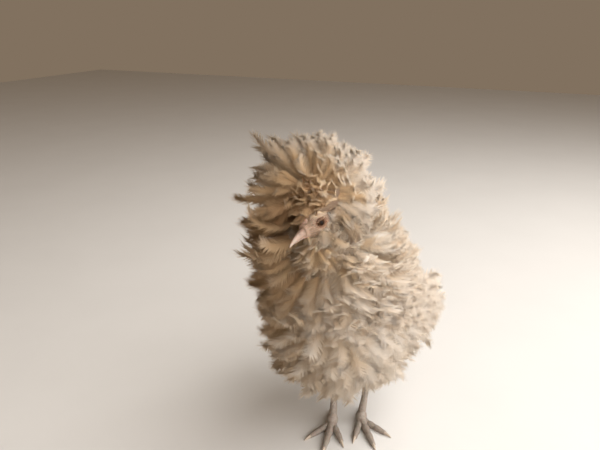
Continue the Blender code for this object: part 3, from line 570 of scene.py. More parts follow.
# %% Toes and their pads
TOES = (  # name, turn outwards from straight ahead, length, radius at the root
    ("inner", radians(-28), 0.040, 0.0047),
    ("middle", radians(3), 0.055, 0.0050),
    ("outer", radians(38), 0.043, 0.0046),
    ("hind", radians(167), 0.024, 0.0040),
)
FOOT_TURN = {1: radians(34), -1: radians(-12)}
TOE_ROWS = 96
TOE_SIDES = 28
TOE_PLATE = 0.0031
TOE_STEP = 0.00042
TOE_SHARES = (0.0, 0.14, 0.30, 0.40, 0.58, 0.68, 0.88, 1.0)
TOE_LEVELS = (2.0, 1.35, 0.92, 0.86, 0.82, 0.80, 0.70, 0.62)
TOE_THICKS = (1.0, 1.08, 0.94, 1.08, 0.84, 0.96, 0.74, 0.66)
PAD_PLACE, PAD_SIZE = (0, -0.003, -0.0075), (0.0082, 0.0094, 0.0098)
CLAW_LENGTH = 0.011
CLAW_ROOT = 0.97  # the share of the toe's length where its claw starts


def toe_line(side, turn, length, radius, share):
    """Centre line, radii and heading of a toe: level and thickness are smooth through its joints."""
    heading = side * (turn + FOOT_TURN[side])
    way = np.array((sin(heading), -cos(heading), 0.0))
    start = leg_spot(side, ANKLE, FOOT_SHIFT[side] + 0.004)
    table = smooth_rows(np.stack((TOE_SHARES, TOE_LEVELS, TOE_THICKS), axis=1), 12)
    level = np.interp(share, table[:, 0], table[:, 1]) * radius
    thick = np.interp(share, table[:, 0], table[:, 2]) * radius
    centres = start + share[:, None] * length * way
    centres[:, 2] = level
    return centres, thick, way


def toe_part(side, turn, length, radius):
    """A tube with plates on top and soft pads below, pressed flat on the floor."""
    share = np.linspace(0, 1, TOE_ROWS)
    centres, thick, way = toe_line(side, turn, length, radius, share)
    spin = turns(TOE_SIDES)[None, :]
    top = np.clip(np.sin(spin) * 1.6 + 0.2, 0, 1)
    along = share[:, None] * length
    pads = 0.0004 * np.sin(along / 0.0016 * pi) * np.sin(spin * 6)
    swell = thick[:, None] + top * plates(along, TOE_PLATE, TOE_STEP) + (1 - top) * pads
    ring = np.cos(spin)[..., None] * np.cross(way, SKYWARD) + np.sin(spin)[..., None] * SKYWARD
    points = centres[:, None, :] + ring * swell[..., None]
    points[..., 2] = np.maximum(points[..., 2], 0.0)
    return closed_grid(points)


def pressed(points, faces):
    """What would lie under the floor is raised to it."""
    points[:, 2] = np.maximum(points[:, 2], 0.0)
    return points, faces


def foot_pad(side):
    """The pad under the ankle, where the toes meet."""
    ankle = leg_spot(side, ANKLE, FOOT_SHIFT[side])
    return pressed(*ellipsoid(ankle + PAD_PLACE, PAD_SIZE, np.eye(3), 30, 36))


legs = []
for side, name in SIDES:
    leg = mesh_object("leg_skin_" + name, *shank_part(side))
    tools = [mesh_object("pad", *foot_pad(side))]
    tools += [mesh_object("toe", *toe_part(side, *toe[1:])) for toe in TOES]
    legs.append(combine(leg, tools, "UNION"))
print("leg faces:", [len(leg.data.polygons) for leg in legs])

# %% One skin from trunk, head and legs
skin = combine(trunk, [head, *legs], "UNION")
skin.name = skin.data.name = "skin"
skin_points, skin_faces = arrays_of(skin)
print("skin triangles:", len(skin_faces))

# %% [markdown]
# ## Arithmetic on sockets
# A shader is a formula, and it reads best as one. The small class below wraps a socket, so that
# 1 - mask or 0.5 * noise adds the Math nodes by itself, and one method adds every other kind of node.


# %% Finish and Wire
class Wire:
    """A socket that arithmetic works on: each operation adds one Math node."""

    def __init__(self, finish, socket):
        self.finish = finish
        self.socket = socket

    def math(self, operation, *others, turned=False):
        values = [*others, self] if turned else [self, *others]
        return self.finish.node("Math", {"operation": operation}, dict(enumerate(values)))

    def __add__(self, other):
        return self.math("ADD", other)

    def __sub__(self, other):
        return self.math("SUBTRACT", other)

    def __rsub__(self, other):
        return self.math("SUBTRACT", other, turned=True)

    def __mul__(self, other):
        return self.math("MULTIPLY", other)

    def clamped(self):
        return self.finish.node("Clamp", {}, {0: self})

    __radd__ = __add__
    __rmul__ = __mul__


class Finish:
    """A material in the making: its constants are set on the shader, and varying inputs are fed."""

    def __init__(self, name, **constants):
        self.material = bpy.data.materials.new(name)
        self.material.use_nodes = True
        self.tree = self.material.node_tree
        self.shader = self.tree.nodes["Principled BSDF"]
        for words, value in constants.items():
            self.shader.inputs[words.replace("_", " ").title()].default_value = value

    def feed(self, socket, value):
        if isinstance(value, Wire):
            self.tree.links.new(value.socket, socket)
        elif isinstance(value, (tuple, list)) and socket.type == "RGBA" and len(value) == 3:
            socket.default_value = (*value, 1.0)
        else:
            socket.default_value = value

    def node(self, kind, settings, inputs, output=0):
        """Any node: its settings first, then the values or links of its sockets."""
        made = self.tree.nodes.new("ShaderNode" + kind)
        for name, value in settings.items():
            setattr(made, name, value)
        for socket, value in inputs.items():
            self.feed(made.inputs[socket], value)
        return Wire(self, made.outputs[output])

    def mix(self, share, first, second):
        """first where share is 0 and second where it is 1, for colours."""
        made = self.tree.nodes.new("ShaderNodeMix")
        made.data_type = "RGBA"
        for name, value in zip((0, 6, 7), (share, first, second)):
            self.feed(made.inputs[name], value)
        return Wire(self, made.outputs[2])

    def noise(self, scale, detail):
        return self.node("TexNoise", {}, {"Vector": self.place(), "Scale": scale, "Detail": detail})

    def place(self):
        return self.node("TexCoord", {}, {}, output="Object")

    def value_of(self, attribute):
        return self.node("Attribute", {"attribute_name": attribute}, {}, output="Fac")

    def along(self, name):
        """The two parts of a UV map as numbers."""
        flat = self.node("UVMap", {"uv_map": name}, {})
        return [self.node("SeparateXYZ", {}, {0: flat}, output=part) for part in ("X", "Y")]

    def bump(self, height, distance, strength=1.0):
        relief = self.node("Bump", {}, {"Height": height, "Distance": distance, "Strength": strength})
        self.feed(self.shader.inputs["Normal"], relief)

    def colour(self, wire):
        self.feed(self.shader.inputs["Base Color"], wire)

    def roughness(self, wire):
        self.feed(self.shader.inputs["Roughness"], wire)


def mottled(name, scale, detail, first, second, **constants):
    """A finish of two colours mixed by noise, and that noise."""
    finish = Finish(name, **constants)
    noise = finish.noise(scale, detail)
    finish.colour(finish.mix(noise, first, second))
    return finish, noise


def dress(obj, finish, slot, *nodes):
    """The finish, the body that obj rides on, the slot, which is not used, and the solids that it stands for.
    """
    obj.data.materials.clear()
    obj.data.materials.append(finish.material)
    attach(obj, "root")
    if nodes:
        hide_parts(*nodes)


def set_value(obj, name, values):
    """One number for each point of the mesh, which a material can read by name."""
    layer = obj.data.attributes.new(name, "FLOAT", "POINT")
    layer.data.foreach_set("value", np.ascontiguousarray(values, np.float32))


# %% [markdown]
# ## Colour of the skin
# Three skins meet without a seam: cream under the feathers, buff and wrinkled on the face, greyish brown
# and scaly on the legs, that brown partly painted shade under her body. Where each one lies is worked out
# from the point's place and kept on the mesh as a number, and the material mixes by these numbers.

# %% Skin masks and material
head_spots = in_head(skin_points)
side_of_head = np.abs(head_spots[:, 1])
from_eye = np.linalg.norm((head_spots - (EYE_PLACE[0], 0, EYE_PLACE[2])) * (1, 0, 1.15), axis=1)
near_head = falling(np.linalg.norm(head_spots - (0.010, 0, -0.001), axis=1), 0.030, 0.006)
near_head = near_head * falling(head_spots[:, 2], 0.0125, 0.003) * rising(head_spots[:, 2], -0.0150, 0.003)
lid_ring = hill(from_eye - 0.0050, 0.0028) * rising(side_of_head, 0.009, 0.003)
gape = hill(head_spots[:, 2] - gape_line(head_spots[:, 0]), 0.0011) * rising(head_spots[:, 0], 0.010, 0.006)
beak_root = rising(head_spots[:, 0], 0.0175, 0.005)
comb_root = hill(np.linalg.norm(head_spots - (0.019, 0, 0.008), axis=1), 0.0055)
flush = np.clip(0.50 * gape + 0.20 * beak_root + 0.5 * comb_root, 0, 1) * near_head
legs_share = falling(skin_points[:, 2], HOCK[2] + 0.004, 0.006)
set_value(skin, "face", near_head)
set_value(skin, "flush", flush)
set_value(skin, "rim", np.clip(1.4 * lid_ring, 0, 1) * near_head)
set_value(skin, "scaly", legs_share)

FACE_SKIN = (0.40, 0.29, 0.215)
FACE_SHADE = (0.33, 0.23, 0.165)
FLUSH_RED = (0.42, 0.265, 0.205)
LID_BROWN = (0.20, 0.105, 0.060)
BODY_SKIN = (0.80, 0.64, 0.46)
# The leg colours are darkened as painted shade, since the legs stand in the shade under her body.
LEG_SHADED_PALE = (0.36, 0.31, 0.26)
LEG_SHADED_SEAM = (0.16, 0.125, 0.10)


def skin_finish():
    """Face, legs and body in one material, mixed by the masks on the mesh."""
    finish = Finish("hen_skin", Subsurface_Weight=0.12, Subsurface_Scale=0.002)
    face, flushed, scaly, rim = (finish.value_of(name) for name in ("face", "flush", "scaly", "rim"))
    mottle = finish.noise(240.0, 4.0)
    grain = finish.noise(1500.0, 3.0)
    where = {"Vector": finish.place(), "Scale": 620.0}
    seams = (1 - finish.node("TexVoronoi", {"feature": "DISTANCE_TO_EDGE"}, where) * 5.0).clamped()
    face_colour = finish.mix(flushed, finish.mix(mottle, FACE_SKIN, FACE_SHADE), FLUSH_RED)
    face_colour = finish.mix(rim, face_colour, LID_BROWN)
    shaded_leg_colour = finish.mix((mottle * 0.55 + seams * 0.6).clamped(), LEG_SHADED_PALE, LEG_SHADED_SEAM)
    body = finish.mix(face, BODY_SKIN, face_colour)
    finish.colour(finish.mix(scaly, body, shaded_leg_colour))
    finish.roughness(0.62 - scaly * 0.10 + grain * 0.12)
    finish.bump(grain * 0.5 + mottle * 0.6 - seams * 0.4, 0.0004, 0.8)
    return finish


flesh = ["head", "neck", "torso", "tail"]
flesh += [f"{stem}_{name}" for stem in ("wing", "thigh", "shank", "foot") for _, name in SIDES]
dress(skin, skin_finish(), "face", *flesh)

# %% [markdown]
# ## Eyes, beak, comb and claws
# An eye is a smooth ball with a near-black pupil in a dark brown iris, and its shine is kept weak, as in the
# shade of the crest. The beak is two curved horns whose cross-section shrinks towards the tip, with a
# nostril under a small dome. The claws are the same idea on a smaller scale.

# %% Eyes
PUPIL_EDGE = cos(radians(30))
IRIS_EDGE = cos(radians(56))
PUPIL_BROWN = (0.010, 0.005, 0.003)
IRIS_LIGHT, IRIS_DARK = (0.080, 0.036, 0.014), (0.034, 0.015, 0.006)
EYE_RIM = (0.12, 0.07, 0.045)


def eye_finish():
    """Pupil, iris and rim by how far a point lies from the eye's axis."""
    finish = Finish("eye_wet", Coat_Weight=0.03, Coat_Roughness=0.10, Roughness=0.4)
    finish.shader.inputs["Specular IOR Level"].default_value = 0.1
    axis = finish.value_of("gaze")
    speckle = finish.noise(2600.0, 3.0)
    iris = finish.mix(speckle, IRIS_LIGHT, IRIS_DARK)
    rim = ((axis - IRIS_EDGE) * -14.0).clamped()
    pupil = ((axis - PUPIL_EDGE) * 22.0).clamped()
    finish.colour(finish.mix(pupil, finish.mix(rim, iris, EYE_RIM), PUPIL_BROWN))
    return finish


eye_coat = eye_finish()
for side, name in SIDES:
    eye = mesh_object("eyeball_" + name, *eye_ball(side))
    eye_points = arrays_of(eye)[0]
    set_value(eye, "gaze", dot(unit(eye_points - eye_middle(side)), eye_axes(side)[1] @ HEAD_AXES))
    dress(eye, eye_coat, "eye", "eye_" + name)

# %% Beak
BEAK_BASE = 0.0225
BEAK_FRONT = 0.0473
BEAK_HALF_WIDTH = 0.0046
BEAK_HEIGHT = 0.0076
BEAK_HOOK = 0.0062
LOWER_FRONT = 0.0408
LOWER_HEIGHT = 0.0042
MOUTH_LEVEL = -0.0075
HORN_ROOT, HORN_TIP, HORN_STREAK = (0.29, 0.20, 0.155), (0.38, 0.30, 0.245), (0.44, 0.27, 0.20)
BEAK_ROWS, BEAK_SIDES = 80, 64
BEAK_END, BEAK_TAPER, BEAK_RIDGE = 0.985, 0.62, 1.12
NOSTRIL_PLACE = (0.0085, 0.0042)  # ahead of the base and up
NOSTRIL_DOME = (0.0011, (-0.0012, 0.0007), (0.0032, 0.0022))
NOSTRIL_SLIT = (0.0018, (0.0, -0.0006), (0.0017, 0.0006))


def beak_part(front, height, floor, hook, rise):
    """Half an ellipse at each share of the length, shrunk by (1 - share) ** taper, its mouth edge hooked down.

    rise is +1 for the upper half and -1 for the lower. A nostril is pressed into each side under a dome.
    """
    share = np.linspace(0, BEAK_END, BEAK_ROWS)[:, None]
    turn = turns(BEAK_SIDES)[None, :]
    taper = (1 - share) ** BEAK_TAPER
    forward = BEAK_BASE + (front - BEAK_BASE) * share
    ridge = np.sign(np.cos(turn)) * np.abs(np.cos(turn)) ** BEAK_RIDGE
    sideways = ridge * BEAK_HALF_WIDTH * (taper * 0.94 + 0.06)
    raised = np.maximum(np.sin(turn) * rise, -0.12) * height * (taper * 0.93 + 0.07) * rise
    if rise > 0:
        spot = forward - (BEAK_BASE + NOSTRIL_PLACE[0]), raised - NOSTRIL_PLACE[1]
        swell = mound(*spot, *NOSTRIL_DOME) - mound(*spot, *NOSTRIL_SLIT)
        sideways = sideways + np.sign(np.cos(turn)) * swell * np.clip(np.abs(np.cos(turn)) * 3, 0, 1)
    growth = 0.00006 * np.sin(share * 70)
    up = floor - hook * share**2.2 + raised * (1 + growth / 0.004)
    return closed_grid(on_head(np.broadcast_to(forward, up.shape), sideways, up))


def beak_finish():
    """Horn that pales towards the tip, with faint streaks."""
    finish = Finish("beak_horn", Subsurface_Weight=0.15, Subsurface_Scale=0.002, Coat_Weight=0.15)
    along = finish.value_of("tipward")
    streak = finish.noise(420.0, 3.0)
    horn = finish.mix(along, HORN_ROOT, HORN_TIP)
    finish.colour(finish.mix(streak * 0.5, horn, HORN_STREAK))
    finish.roughness(0.34 + streak * 0.2)
    finish.bump(streak, 0.0003, 0.5)
    return finish


horn_coat = beak_finish()
beaks = {
    "upper": beak_part(BEAK_FRONT, BEAK_HEIGHT, MOUTH_LEVEL + 0.0013, BEAK_HOOK, 1),
    "lower": beak_part(LOWER_FRONT, LOWER_HEIGHT, MOUTH_LEVEL - 0.0007, 0.0030, -1),
}
for name, part in beaks.items():
    beak = mesh_object(f"beak_{name}_horn", *part)
    forward = in_head(arrays_of(beak)[0])[:, 0]
    set_value(beak, "tipward", rising(forward, BEAK_BASE, 0.020))
    dress(beak, horn_coat, "beak", "beak_" + name)

# %% Comb
COMB_BASE = (0.0190, 0.0, 0.0075)
COMB_SIZE = (0.0042, 0.0048, 0.0036)
HORN_LENGTH = 0.0066
HORN_RADII = (0.0026, 0.0022, 0.0016, 0.0006)
COMB_PALE, COMB_DARK = (0.40, 0.26, 0.20), (0.30, 0.19, 0.145)


def comb_horn(side):
    """One of the two short horns of the comb."""
    base = on_head(COMB_BASE[0], side * 0.0020, COMB_BASE[2] + 0.0005)
    lean = unit(UP + LEFT * (0.45 * side) + AHEAD * 0.25)
    share = np.linspace(-0.1, 1, 30)
    radii = np.interp(share, (0, 0.45, 0.8, 1), HORN_RADII) * (1 + 0.10 * np.sin(share * 22))
    return tube(base + share[:, None] * HORN_LENGTH * lean, LEFT, radii, 24)


comb = mesh_object("comb_flesh", *ellipsoid(on_head(*COMB_BASE), COMB_SIZE, HEAD_AXES, 24, 32))
combine(comb, [mesh_object("horn", *comb_horn(side)) for side in (1, -1)], "UNION")
flesh_look = {"Subsurface_Weight": 0.2, "Subsurface_Scale": 0.002, "Roughness": 0.5}
comb_coat, warts = mottled("comb_red", 900.0, 3.0, COMB_PALE, COMB_DARK, **flesh_look)
comb_coat.bump(warts, 0.0005, 0.8)
dress(comb, comb_coat, "comb", "comb")

# %% Claws
CLAW_ROWS, CLAW_SIDES = 28, 20
CLAW_SHARES, CLAW_RADII = (0, 0.3, 0.6, 0.85, 1), (1.0, 0.84, 0.6, 0.34, 0.12)
CLAW_GIRTH = 0.62  # of the toe's root
CLAW_TIP_LEVEL = 0.0008
CLAW_PALE, CLAW_DARK = (0.50, 0.42, 0.33), (0.33, 0.26, 0.20)


def claw_part(side, turn, length, radius):
    """A flat tube that tapers from the toe's end down to the floor."""
    tip, _, way = toe_line(side, turn, length, radius, np.array((CLAW_ROOT,)))
    end = tip[0]
    share = np.linspace(0, 1, CLAW_ROWS)
    reach = length * (1 - CLAW_ROOT) + CLAW_LENGTH
    centres = end + share[:, None] * reach * way
    centres[:, 2] -= (end[2] - CLAW_TIP_LEVEL) * share**1.7
    radii = np.interp(share, CLAW_SHARES, CLAW_RADII) * radius * CLAW_GIRTH
    return pressed(*tube(centres, np.cross(way, SKYWARD), radii, CLAW_SIDES, squash=0.8))


claw_coat, lines = mottled("claw_horn", 700.0, 2.0, CLAW_PALE, CLAW_DARK, Coat_Weight=0.2)
claw_coat.roughness(0.35 + lines * 0.2)
for side, name in SIDES:
    claws = mesh_object("claws_" + name, *joined([claw_part(side, *toe[1:]) for toe in TOES]))
    dress(claws, claw_coat, "claw", *[f"claw_{toe[0]}_{name}" for toe in TOES])

# %% [markdown]
# ## One feather, many feathers
# A curled feather leaves the skin at an angle and keeps turning until its tip points away from the body
# or back towards the head. Its vane is a thin closed lens, and along both edges stand the barbs,
# each a slim closed spike. All feathers of a piece are worked out together as arrays.

# %% The feather's line
FINE = 25
CURL_POWER = 1.9
SHAPE_SHARES = (0, 0.12, 0.35, 0.62, 0.85, 1)
SHAPE_WIDTHS = (0.34, 0.66, 0.92, 1.0, 0.90, 0.52)
CORE_SHARES = (0, 0.16, 0.34, 0.52, 0.68, 0.82, 0.92, 0.985)
TAPER_SHARES, TAPER_WIDTHS = (0, 0.82, 0.92, 0.985), (1, 1, 0.85, 0.45)
CORE_SHARE_OF_WIDTH = 0.20
VANE_THICKNESS = 0.0007
CUP = 0.14  # how far the edge hangs, for each unit of half width
BARB_START = 0.06
BARB_ROOTS = (0.03, 0.96)
BARB_LEAD = 0.15
BARB_MAP_LEAD = 0.14  # how much further along the vane's map a tip lies than its foot
BARB_STAGGER = 0.25  # how far the two sides are set apart, in steps between barbs
BARBS_TO_A_LOCK = 5.2
RAGGED_REACH = (0.10, 0.07)  # by chance and by locks, as shares of the half width
RAGGED_AHEAD = (0.016, 0.010)  # the same, as shares of the length
RIDGE_HEIGHT, RIDGE_PLACE = 0.7, 0.15  # in vane thicknesses, and as a share of the spike
EDGE_SHARES = (0.10, 0.30, 0.55, 0.80, 0.92, 1.02, 1.08, 1.12)
EDGE_WIDTHS = (0.52, 0.82, 0.98, 1.0, 0.97, 0.83, 0.58, 0.20)
BARB_WIDTH = 0.95
BARB_TONES = 0.08
FLUFF = 0.18
SKIN_SHARE = 0.84
VANE_SHARE = 0.28
BOW_SHARE = 0.14


class Plan:
    """The feathers of one piece as arrays: a root, a lie, a way out of the skin and the sizes of each."""

    fields = ("root", "lie", "out", "length", "width", "lift", "curl", "twist", "bend", "tone")

    def __init__(self, **values):
        count = len(values["root"])
        for field in self.fields:
            value = np.asarray(values.get(field, 0.0), float)
            shape = (count, 3) if field in ("root", "lie", "out") else (count,)
            setattr(self, field, np.array(np.broadcast_to(value, shape)))
        self.lie = unit(self.lie - self.out * dot(self.lie, self.out)[:, None])
        self.side = np.cross(self.lie, self.out)

    def __len__(self):
        return len(self.root)

    def only(self, keep):
        return Plan(**{field: getattr(self, field)[keep] for field in self.fields})


def merged(plans):
    """Several plans as one."""
    return Plan(**{field: np.concatenate([getattr(plan, field) for plan in plans]) for field in Plan.fields})


def shafts(plan, shares):
    """Centre, way, across and normal of every feather at each share of its length.

    The angle to the skin is lift + curl * share ** power. The centre is the root plus the length times
    the sum of cos(angle) * lie + sin(angle) * out, plus bend * length * share ** 2 to the side.
    """
    fine = np.linspace(0, 1, FINE)
    angle = plan.lift[:, None] + plan.curl[:, None] * fine**CURL_POWER
    step = np.stack((np.cos(angle), np.sin(angle)), axis=-1)
    middle = (step[:, 1:] + step[:, :-1]) / 2 / (FINE - 1)
    run = np.concatenate((np.zeros((len(plan), 1, 2)), np.cumsum(middle, axis=1)), axis=1)
    spot = np.asarray(shares) * (FINE - 1)
    low = np.minimum(spot.astype(int), FINE - 2)
    part = (spot - low)[None, :, None]
    run = run[:, low] * (1 - part) + run[:, low + 1] * part
    share = np.asarray(shares)[None, :]
    angle = plan.lift[:, None] + plan.curl[:, None] * share**CURL_POWER
    lie, out, side = (v[:, None, :] for v in (plan.lie, plan.out, plan.side))
    drift = (plan.bend[:, None] * share**2)[..., None] * side
    path = run[..., :1] * lie + run[..., 1:] * out + drift
    centre = plan.root[:, None, :] + plan.length[:, None, None] * path
    way = np.cos(angle)[..., None] * lie + np.sin(angle)[..., None] * out
    normal = np.cos(angle)[..., None] * out - np.sin(angle)[..., None] * lie
    lean = (plan.twist[:, None] * share)[..., None]
    across = side * np.cos(lean) + normal * np.sin(lean)
    normal = normal * np.cos(lean) - side * np.sin(lean)
    return centre, way, across, normal


# %% Vanes and barbs as closed meshes
def soft_normals(plan, normal, bow=0.0):
    """Unit of the skin's way out plus the vane's normal, turned to the same side, plus a bow to the edge."""
    out = plan.out[:, None, :]
    side = np.clip(dot(normal, out) * 3, -1, 1)[..., None]
    return unit(out * SKIN_SHARE + normal * side * VANE_SHARE + bow)


def vane_mesh(plan):
    """A lens of four edges at each share: left edge, crest, right edge and under side, closed at both ends."""
    centre, way, across, normal = shafts(plan, CORE_SHARES)
    half = np.interp(CORE_SHARES, SHAPE_SHARES, SHAPE_WIDTHS) * (CORE_SHARE_OF_WIDTH / 2)
    half = half * np.interp(CORE_SHARES, TAPER_SHARES, TAPER_WIDTHS)
    half = (plan.width[:, None] * half[None, :])[..., None]
    deep = VANE_THICKNESS / 2
    droop = normal * (-CUP * half)
    left, right = centre - across * half + droop, centre + across * half + droop
    ring = np.stack((left, centre + normal * deep, right, centre - normal * deep), axis=2)
    count, rows = ring.shape[:2]
    points = ring.reshape(-1, 3)
    last = 4 * (rows - 1)
    caps = ((0, 2, 1), (0, 3, 2), (last, last + 1, last + 2), (last, last + 2, last + 3))
    one = np.concatenate((tube_sides(rows, 4), caps))
    faces = (np.arange(count)[:, None, None] * rows * 4 + one).reshape(-1, 3)
    across_map = np.tile((0.25, 0.5, 0.75, 0.5), count * rows)
    along_map = np.tile(np.repeat(CORE_SHARES, 4), count)
    own = np.stack((across_map, along_map), axis=1)
    owner = np.repeat(np.arange(count), rows * 4)
    soft = np.repeat(soft_normals(plan, normal).reshape(-1, 3), 4, axis=0)
    return points, outward(points, faces), own, owner, soft, np.zeros(len(points))


def barb_mesh(plan, barbs, side, ragged, fine):
    """Four-cornered spikes from the shaft to the vane's edge, each ending further along than it starts.

    A spike that starts at share s ends at s + BARB_LEAD, half the edge's width there to the side, so that
    the ends draw a rounded outline. fine narrows the spikes. Neighbours lean together by turns, which
    parts the edge into small locks.
    """
    count = len(plan)
    share = np.maximum(np.linspace(*BARB_ROOTS, barbs) + side * BARB_STAGGER / barbs, 0)
    end = share + BARB_LEAD
    centre, way, across, normal = shafts(plan, share)
    far, _, far_across, far_normal = shafts(plan, end)
    noise = rng.uniform(-1, 1, (3, count, barbs))
    phase = rng.uniform(0, 2 * pi, (count, 1))
    lock = np.sin(np.arange(barbs)[None, :] * (2 * pi / BARBS_TO_A_LOCK) + phase)
    half = plan.width[:, None] / 2 * np.interp(end, EDGE_SHARES, EDGE_WIDTHS)[None, :]
    reach = half * (1 + ragged * (RAGGED_REACH[0] * noise[0] + RAGGED_REACH[1] * lock))
    ahead = plan.length[:, None] * ragged * (RAGGED_AHEAD[0] * noise[1] - RAGGED_AHEAD[1] * lock)
    droop = -CUP * reach + ragged * FLUFF * half * noise[2]
    base = plan.length[:, None] / barbs * (BARB_WIDTH * fine)
    spine = far_across * side
    tip = far + spine * reach[..., None] + way * ahead[..., None] + far_normal * droop[..., None]
    arm = tip - centre
    start = centre + arm * BARB_START
    back = start - way * base[..., None]
    front = start + way * base[..., None]
    ridge = start + normal * (VANE_THICKNESS * RIDGE_HEIGHT) + arm * RIDGE_PLACE
    points = np.stack((back, front, ridge, tip), axis=2).reshape(-1, 3)
    one = np.array(((0, 1, 2), (0, 3, 1), (1, 3, 2), (2, 3, 0)))
    faces = (np.arange(count * barbs)[:, None, None] * 4 + one).reshape(-1, 3)
    step = 0.5 / barbs
    along = np.stack((share - step, share + step, share, np.minimum(share + BARB_MAP_LEAD, 1.0)), axis=-1)
    middle = 0.5 + side * 0.5 * BARB_START
    across_map = np.tile((middle, middle, middle, 0.5 + side * 0.5), count * barbs)
    along_map = np.tile(along.reshape(-1), count)
    owner = np.repeat(np.arange(count), barbs * 4)
    soft = np.repeat(soft_normals(plan, normal, spine * BOW_SHARE).reshape(-1, 3), 4, axis=0)
    shade = np.repeat(rng.uniform(-BARB_TONES, BARB_TONES, count * barbs), 4)
    return points, outward(points, faces), np.stack((across_map, along_map), axis=1), owner, soft, shade


# %% [markdown]
# ## Colour of the feathers
# The hen is a warm cream. Every feather is buff at its hidden base and pales towards the tip, its edge
# thin enough to let light through, and each has a tone of its own, whiter low down her flanks. Painted
# shade and light are also in the tone: browner in the hollow of the crest, on the brow and on her right, and
# lighter on her left, where the lamp shines.

# %% Feather material
BUFF = (0.42, 0.24, 0.12)
CREAM = (0.87, 0.63, 0.37)
PALE = (0.95, 0.91, 0.84)
FACE_BUFF = (0.56, 0.38, 0.28)
FACE_CREAM = (0.62, 0.45, 0.34)
GLOW = (0.94, 0.80, 0.62)  # light that comes through a vane
THROUGH, HELD_BACK = 0.60, 0.55  # the share of such light, and how much of it a deep base takes away


def feather_finish(name, deep_colour, middle_colour, pale_colour):
    """Deep where the tone and the place along the vane are low, pale where they are high."""
    finish = Finish(name, Roughness=0.95)
    across, along = finish.along("Vane")
    tone = finish.value_of("tone")
    blotch = finish.noise(26.0, 3.0)
    streak = finish.noise(900.0, 2.0)
    pale = (tone * 1.6 + along * along * along * 0.80 + blotch * 0.3 - 0.52).clamped()
    deep = (0.55 - tone - along * 0.50).clamped()
    warm = finish.mix(pale, middle_colour, pale_colour)
    finish.colour(finish.mix((deep * 1.4 + streak * 0.12).clamped(), warm, deep_colour))
    barbs = (along * 260.0 + (across - 0.5).math("ABSOLUTE") * 90.0).math("SINE")
    finish.bump(barbs, 0.0002, 0.35)
    glow = finish.node("BsdfTranslucent", {}, {"Color": GLOW})
    thin = THROUGH - deep * HELD_BACK
    shared = finish.node("MixShader", {}, {0: thin, 1: Wire(finish, finish.shader.outputs[0]), 2: glow})
    finish.feed(finish.tree.nodes["Material Output"].inputs["Surface"], shared)
    return finish


feather_coat = feather_finish("curled_feather", BUFF, CREAM, PALE)
down_coat = feather_finish("face_down", FACE_BUFF, FACE_CREAM, FACE_CREAM)

# %% [markdown]
# ## Putting a coat together
# Each feather keeps its tone and its place on the vane as data on the mesh. A second map, OFBake, lays
# every feather on a tiny patch at its root's place on an unwrap of the skin: the turn round the
# piece's middle and the sine of the height over it, so that equal areas stay equal.

# %% Coat pieces
PATCH = 0.003
BARBS = 52
MOST_TRIANGLES = 195_000


def unwrapped(points):
    """Turn round the middle of the roots, and the sine of their height over it, both from 0 to 1."""
    way = unit(points - points.mean(axis=0))
    turn = np.arctan2(way[:, 0], -way[:, 1]) / (2 * pi) + 0.5
    return np.stack((turn, way[:, 2] / 2 + 0.5), axis=1) * 0.98 + 0.01


def coat_piece(name, plan, barbs, ragged=1.0, fine=1.0, nodes=(), coat=feather_coat):
    """Vanes and the barbs of both sides as one mesh, with its maps, tones, normals and material."""
    batches = [vane_mesh(plan)] + [barb_mesh(plan, barbs, side, ragged, fine) for side in (1, -1)]
    points, faces = joined([batch[:2] for batch in batches])
    own, owner, soft, shade = (np.concatenate(values) for values in list(zip(*batches))[2:])
    obj = mesh_object(name, points, faces)
    obj.data.normals_split_custom_set_from_vertices(soft)
    patches = unwrapped(plan.root)[owner] + (own - 0.5) * PATCH
    for map_name, spots in (("Vane", own), ("OFBake", patches)):
        layer = obj.data.uv_layers.new(name=map_name)
        layer.uv.foreach_set("vector", np.ascontiguousarray(spots[faces.ravel()], np.float32).ravel())
    set_value(obj, "tone", plan.tone[owner] + shade)
    dress(obj, coat, "feather", *nodes)
    if len(faces) > MOST_TRIANGLES:
        print("TOO MANY triangles in", name)
    print(f"{name}: {len(plan)} feathers, {len(faces)} triangles")


# %% [markdown]
# ## Where feathers grow
# Feathers stand in even rows, none closer to the next than its own spacing. Many random spots are drawn on
# the skin, each by the area of its triangle, and a spot is kept only if no kept one is too near. The
# nearest part of the trunk says which kind of feather grows there.

# %% Spots on the skin
SPOT_DRAWS = 70_000


def draw_spots(points, faces, count):
    """Random spots a + u (b - a) + v (c - a) on triangles chosen by area, and the normals there."""
    a, b, c = (points[faces[:, i]] for i in range(3))
    cross = np.cross(b - a, c - a)
    area = np.linalg.norm(cross, axis=1)
    chosen = rng.choice(len(faces), count, p=area / area.sum())
    u, v = rng.random((2, count))
    over = u + v > 1
    u, v = np.where(over, 1 - u, u)[:, None], np.where(over, 1 - v, v)[:, None]
    spots = a[chosen] + u * (b - a)[chosen] + v * (c - a)[chosen]
    return spots, unit(cross[chosen])


def thinned(spots, spacing):
    """Indexes of spots kept in order, each blocking the others within its spacing."""
    tree = KDTree(len(spots))
    for i, spot in enumerate(spots):
        tree.insert(spot, i)
    tree.balance()
    free = np.ones(len(spots), bool)
    kept = []
    for i, spot in enumerate(spots):
        if free[i]:
            kept.append(i)
            for _, near, _ in tree.find_range(spot, spacing[i]):
                free[near] = False
    return np.array(kept, int)


def nearest_part(spots, parts):
    """The name of the part whose surface is nearest to each spot."""
    names = list(parts)
    gaps = []
    for name in names:
        tree = BVHTree.FromPolygons(parts[name][0].tolist(), parts[name][1].tolist())
        gaps.append([tree.find_nearest(spot)[3] for spot in spots])
    return np.array(names)[np.argmin(np.array(gaps), axis=0)]


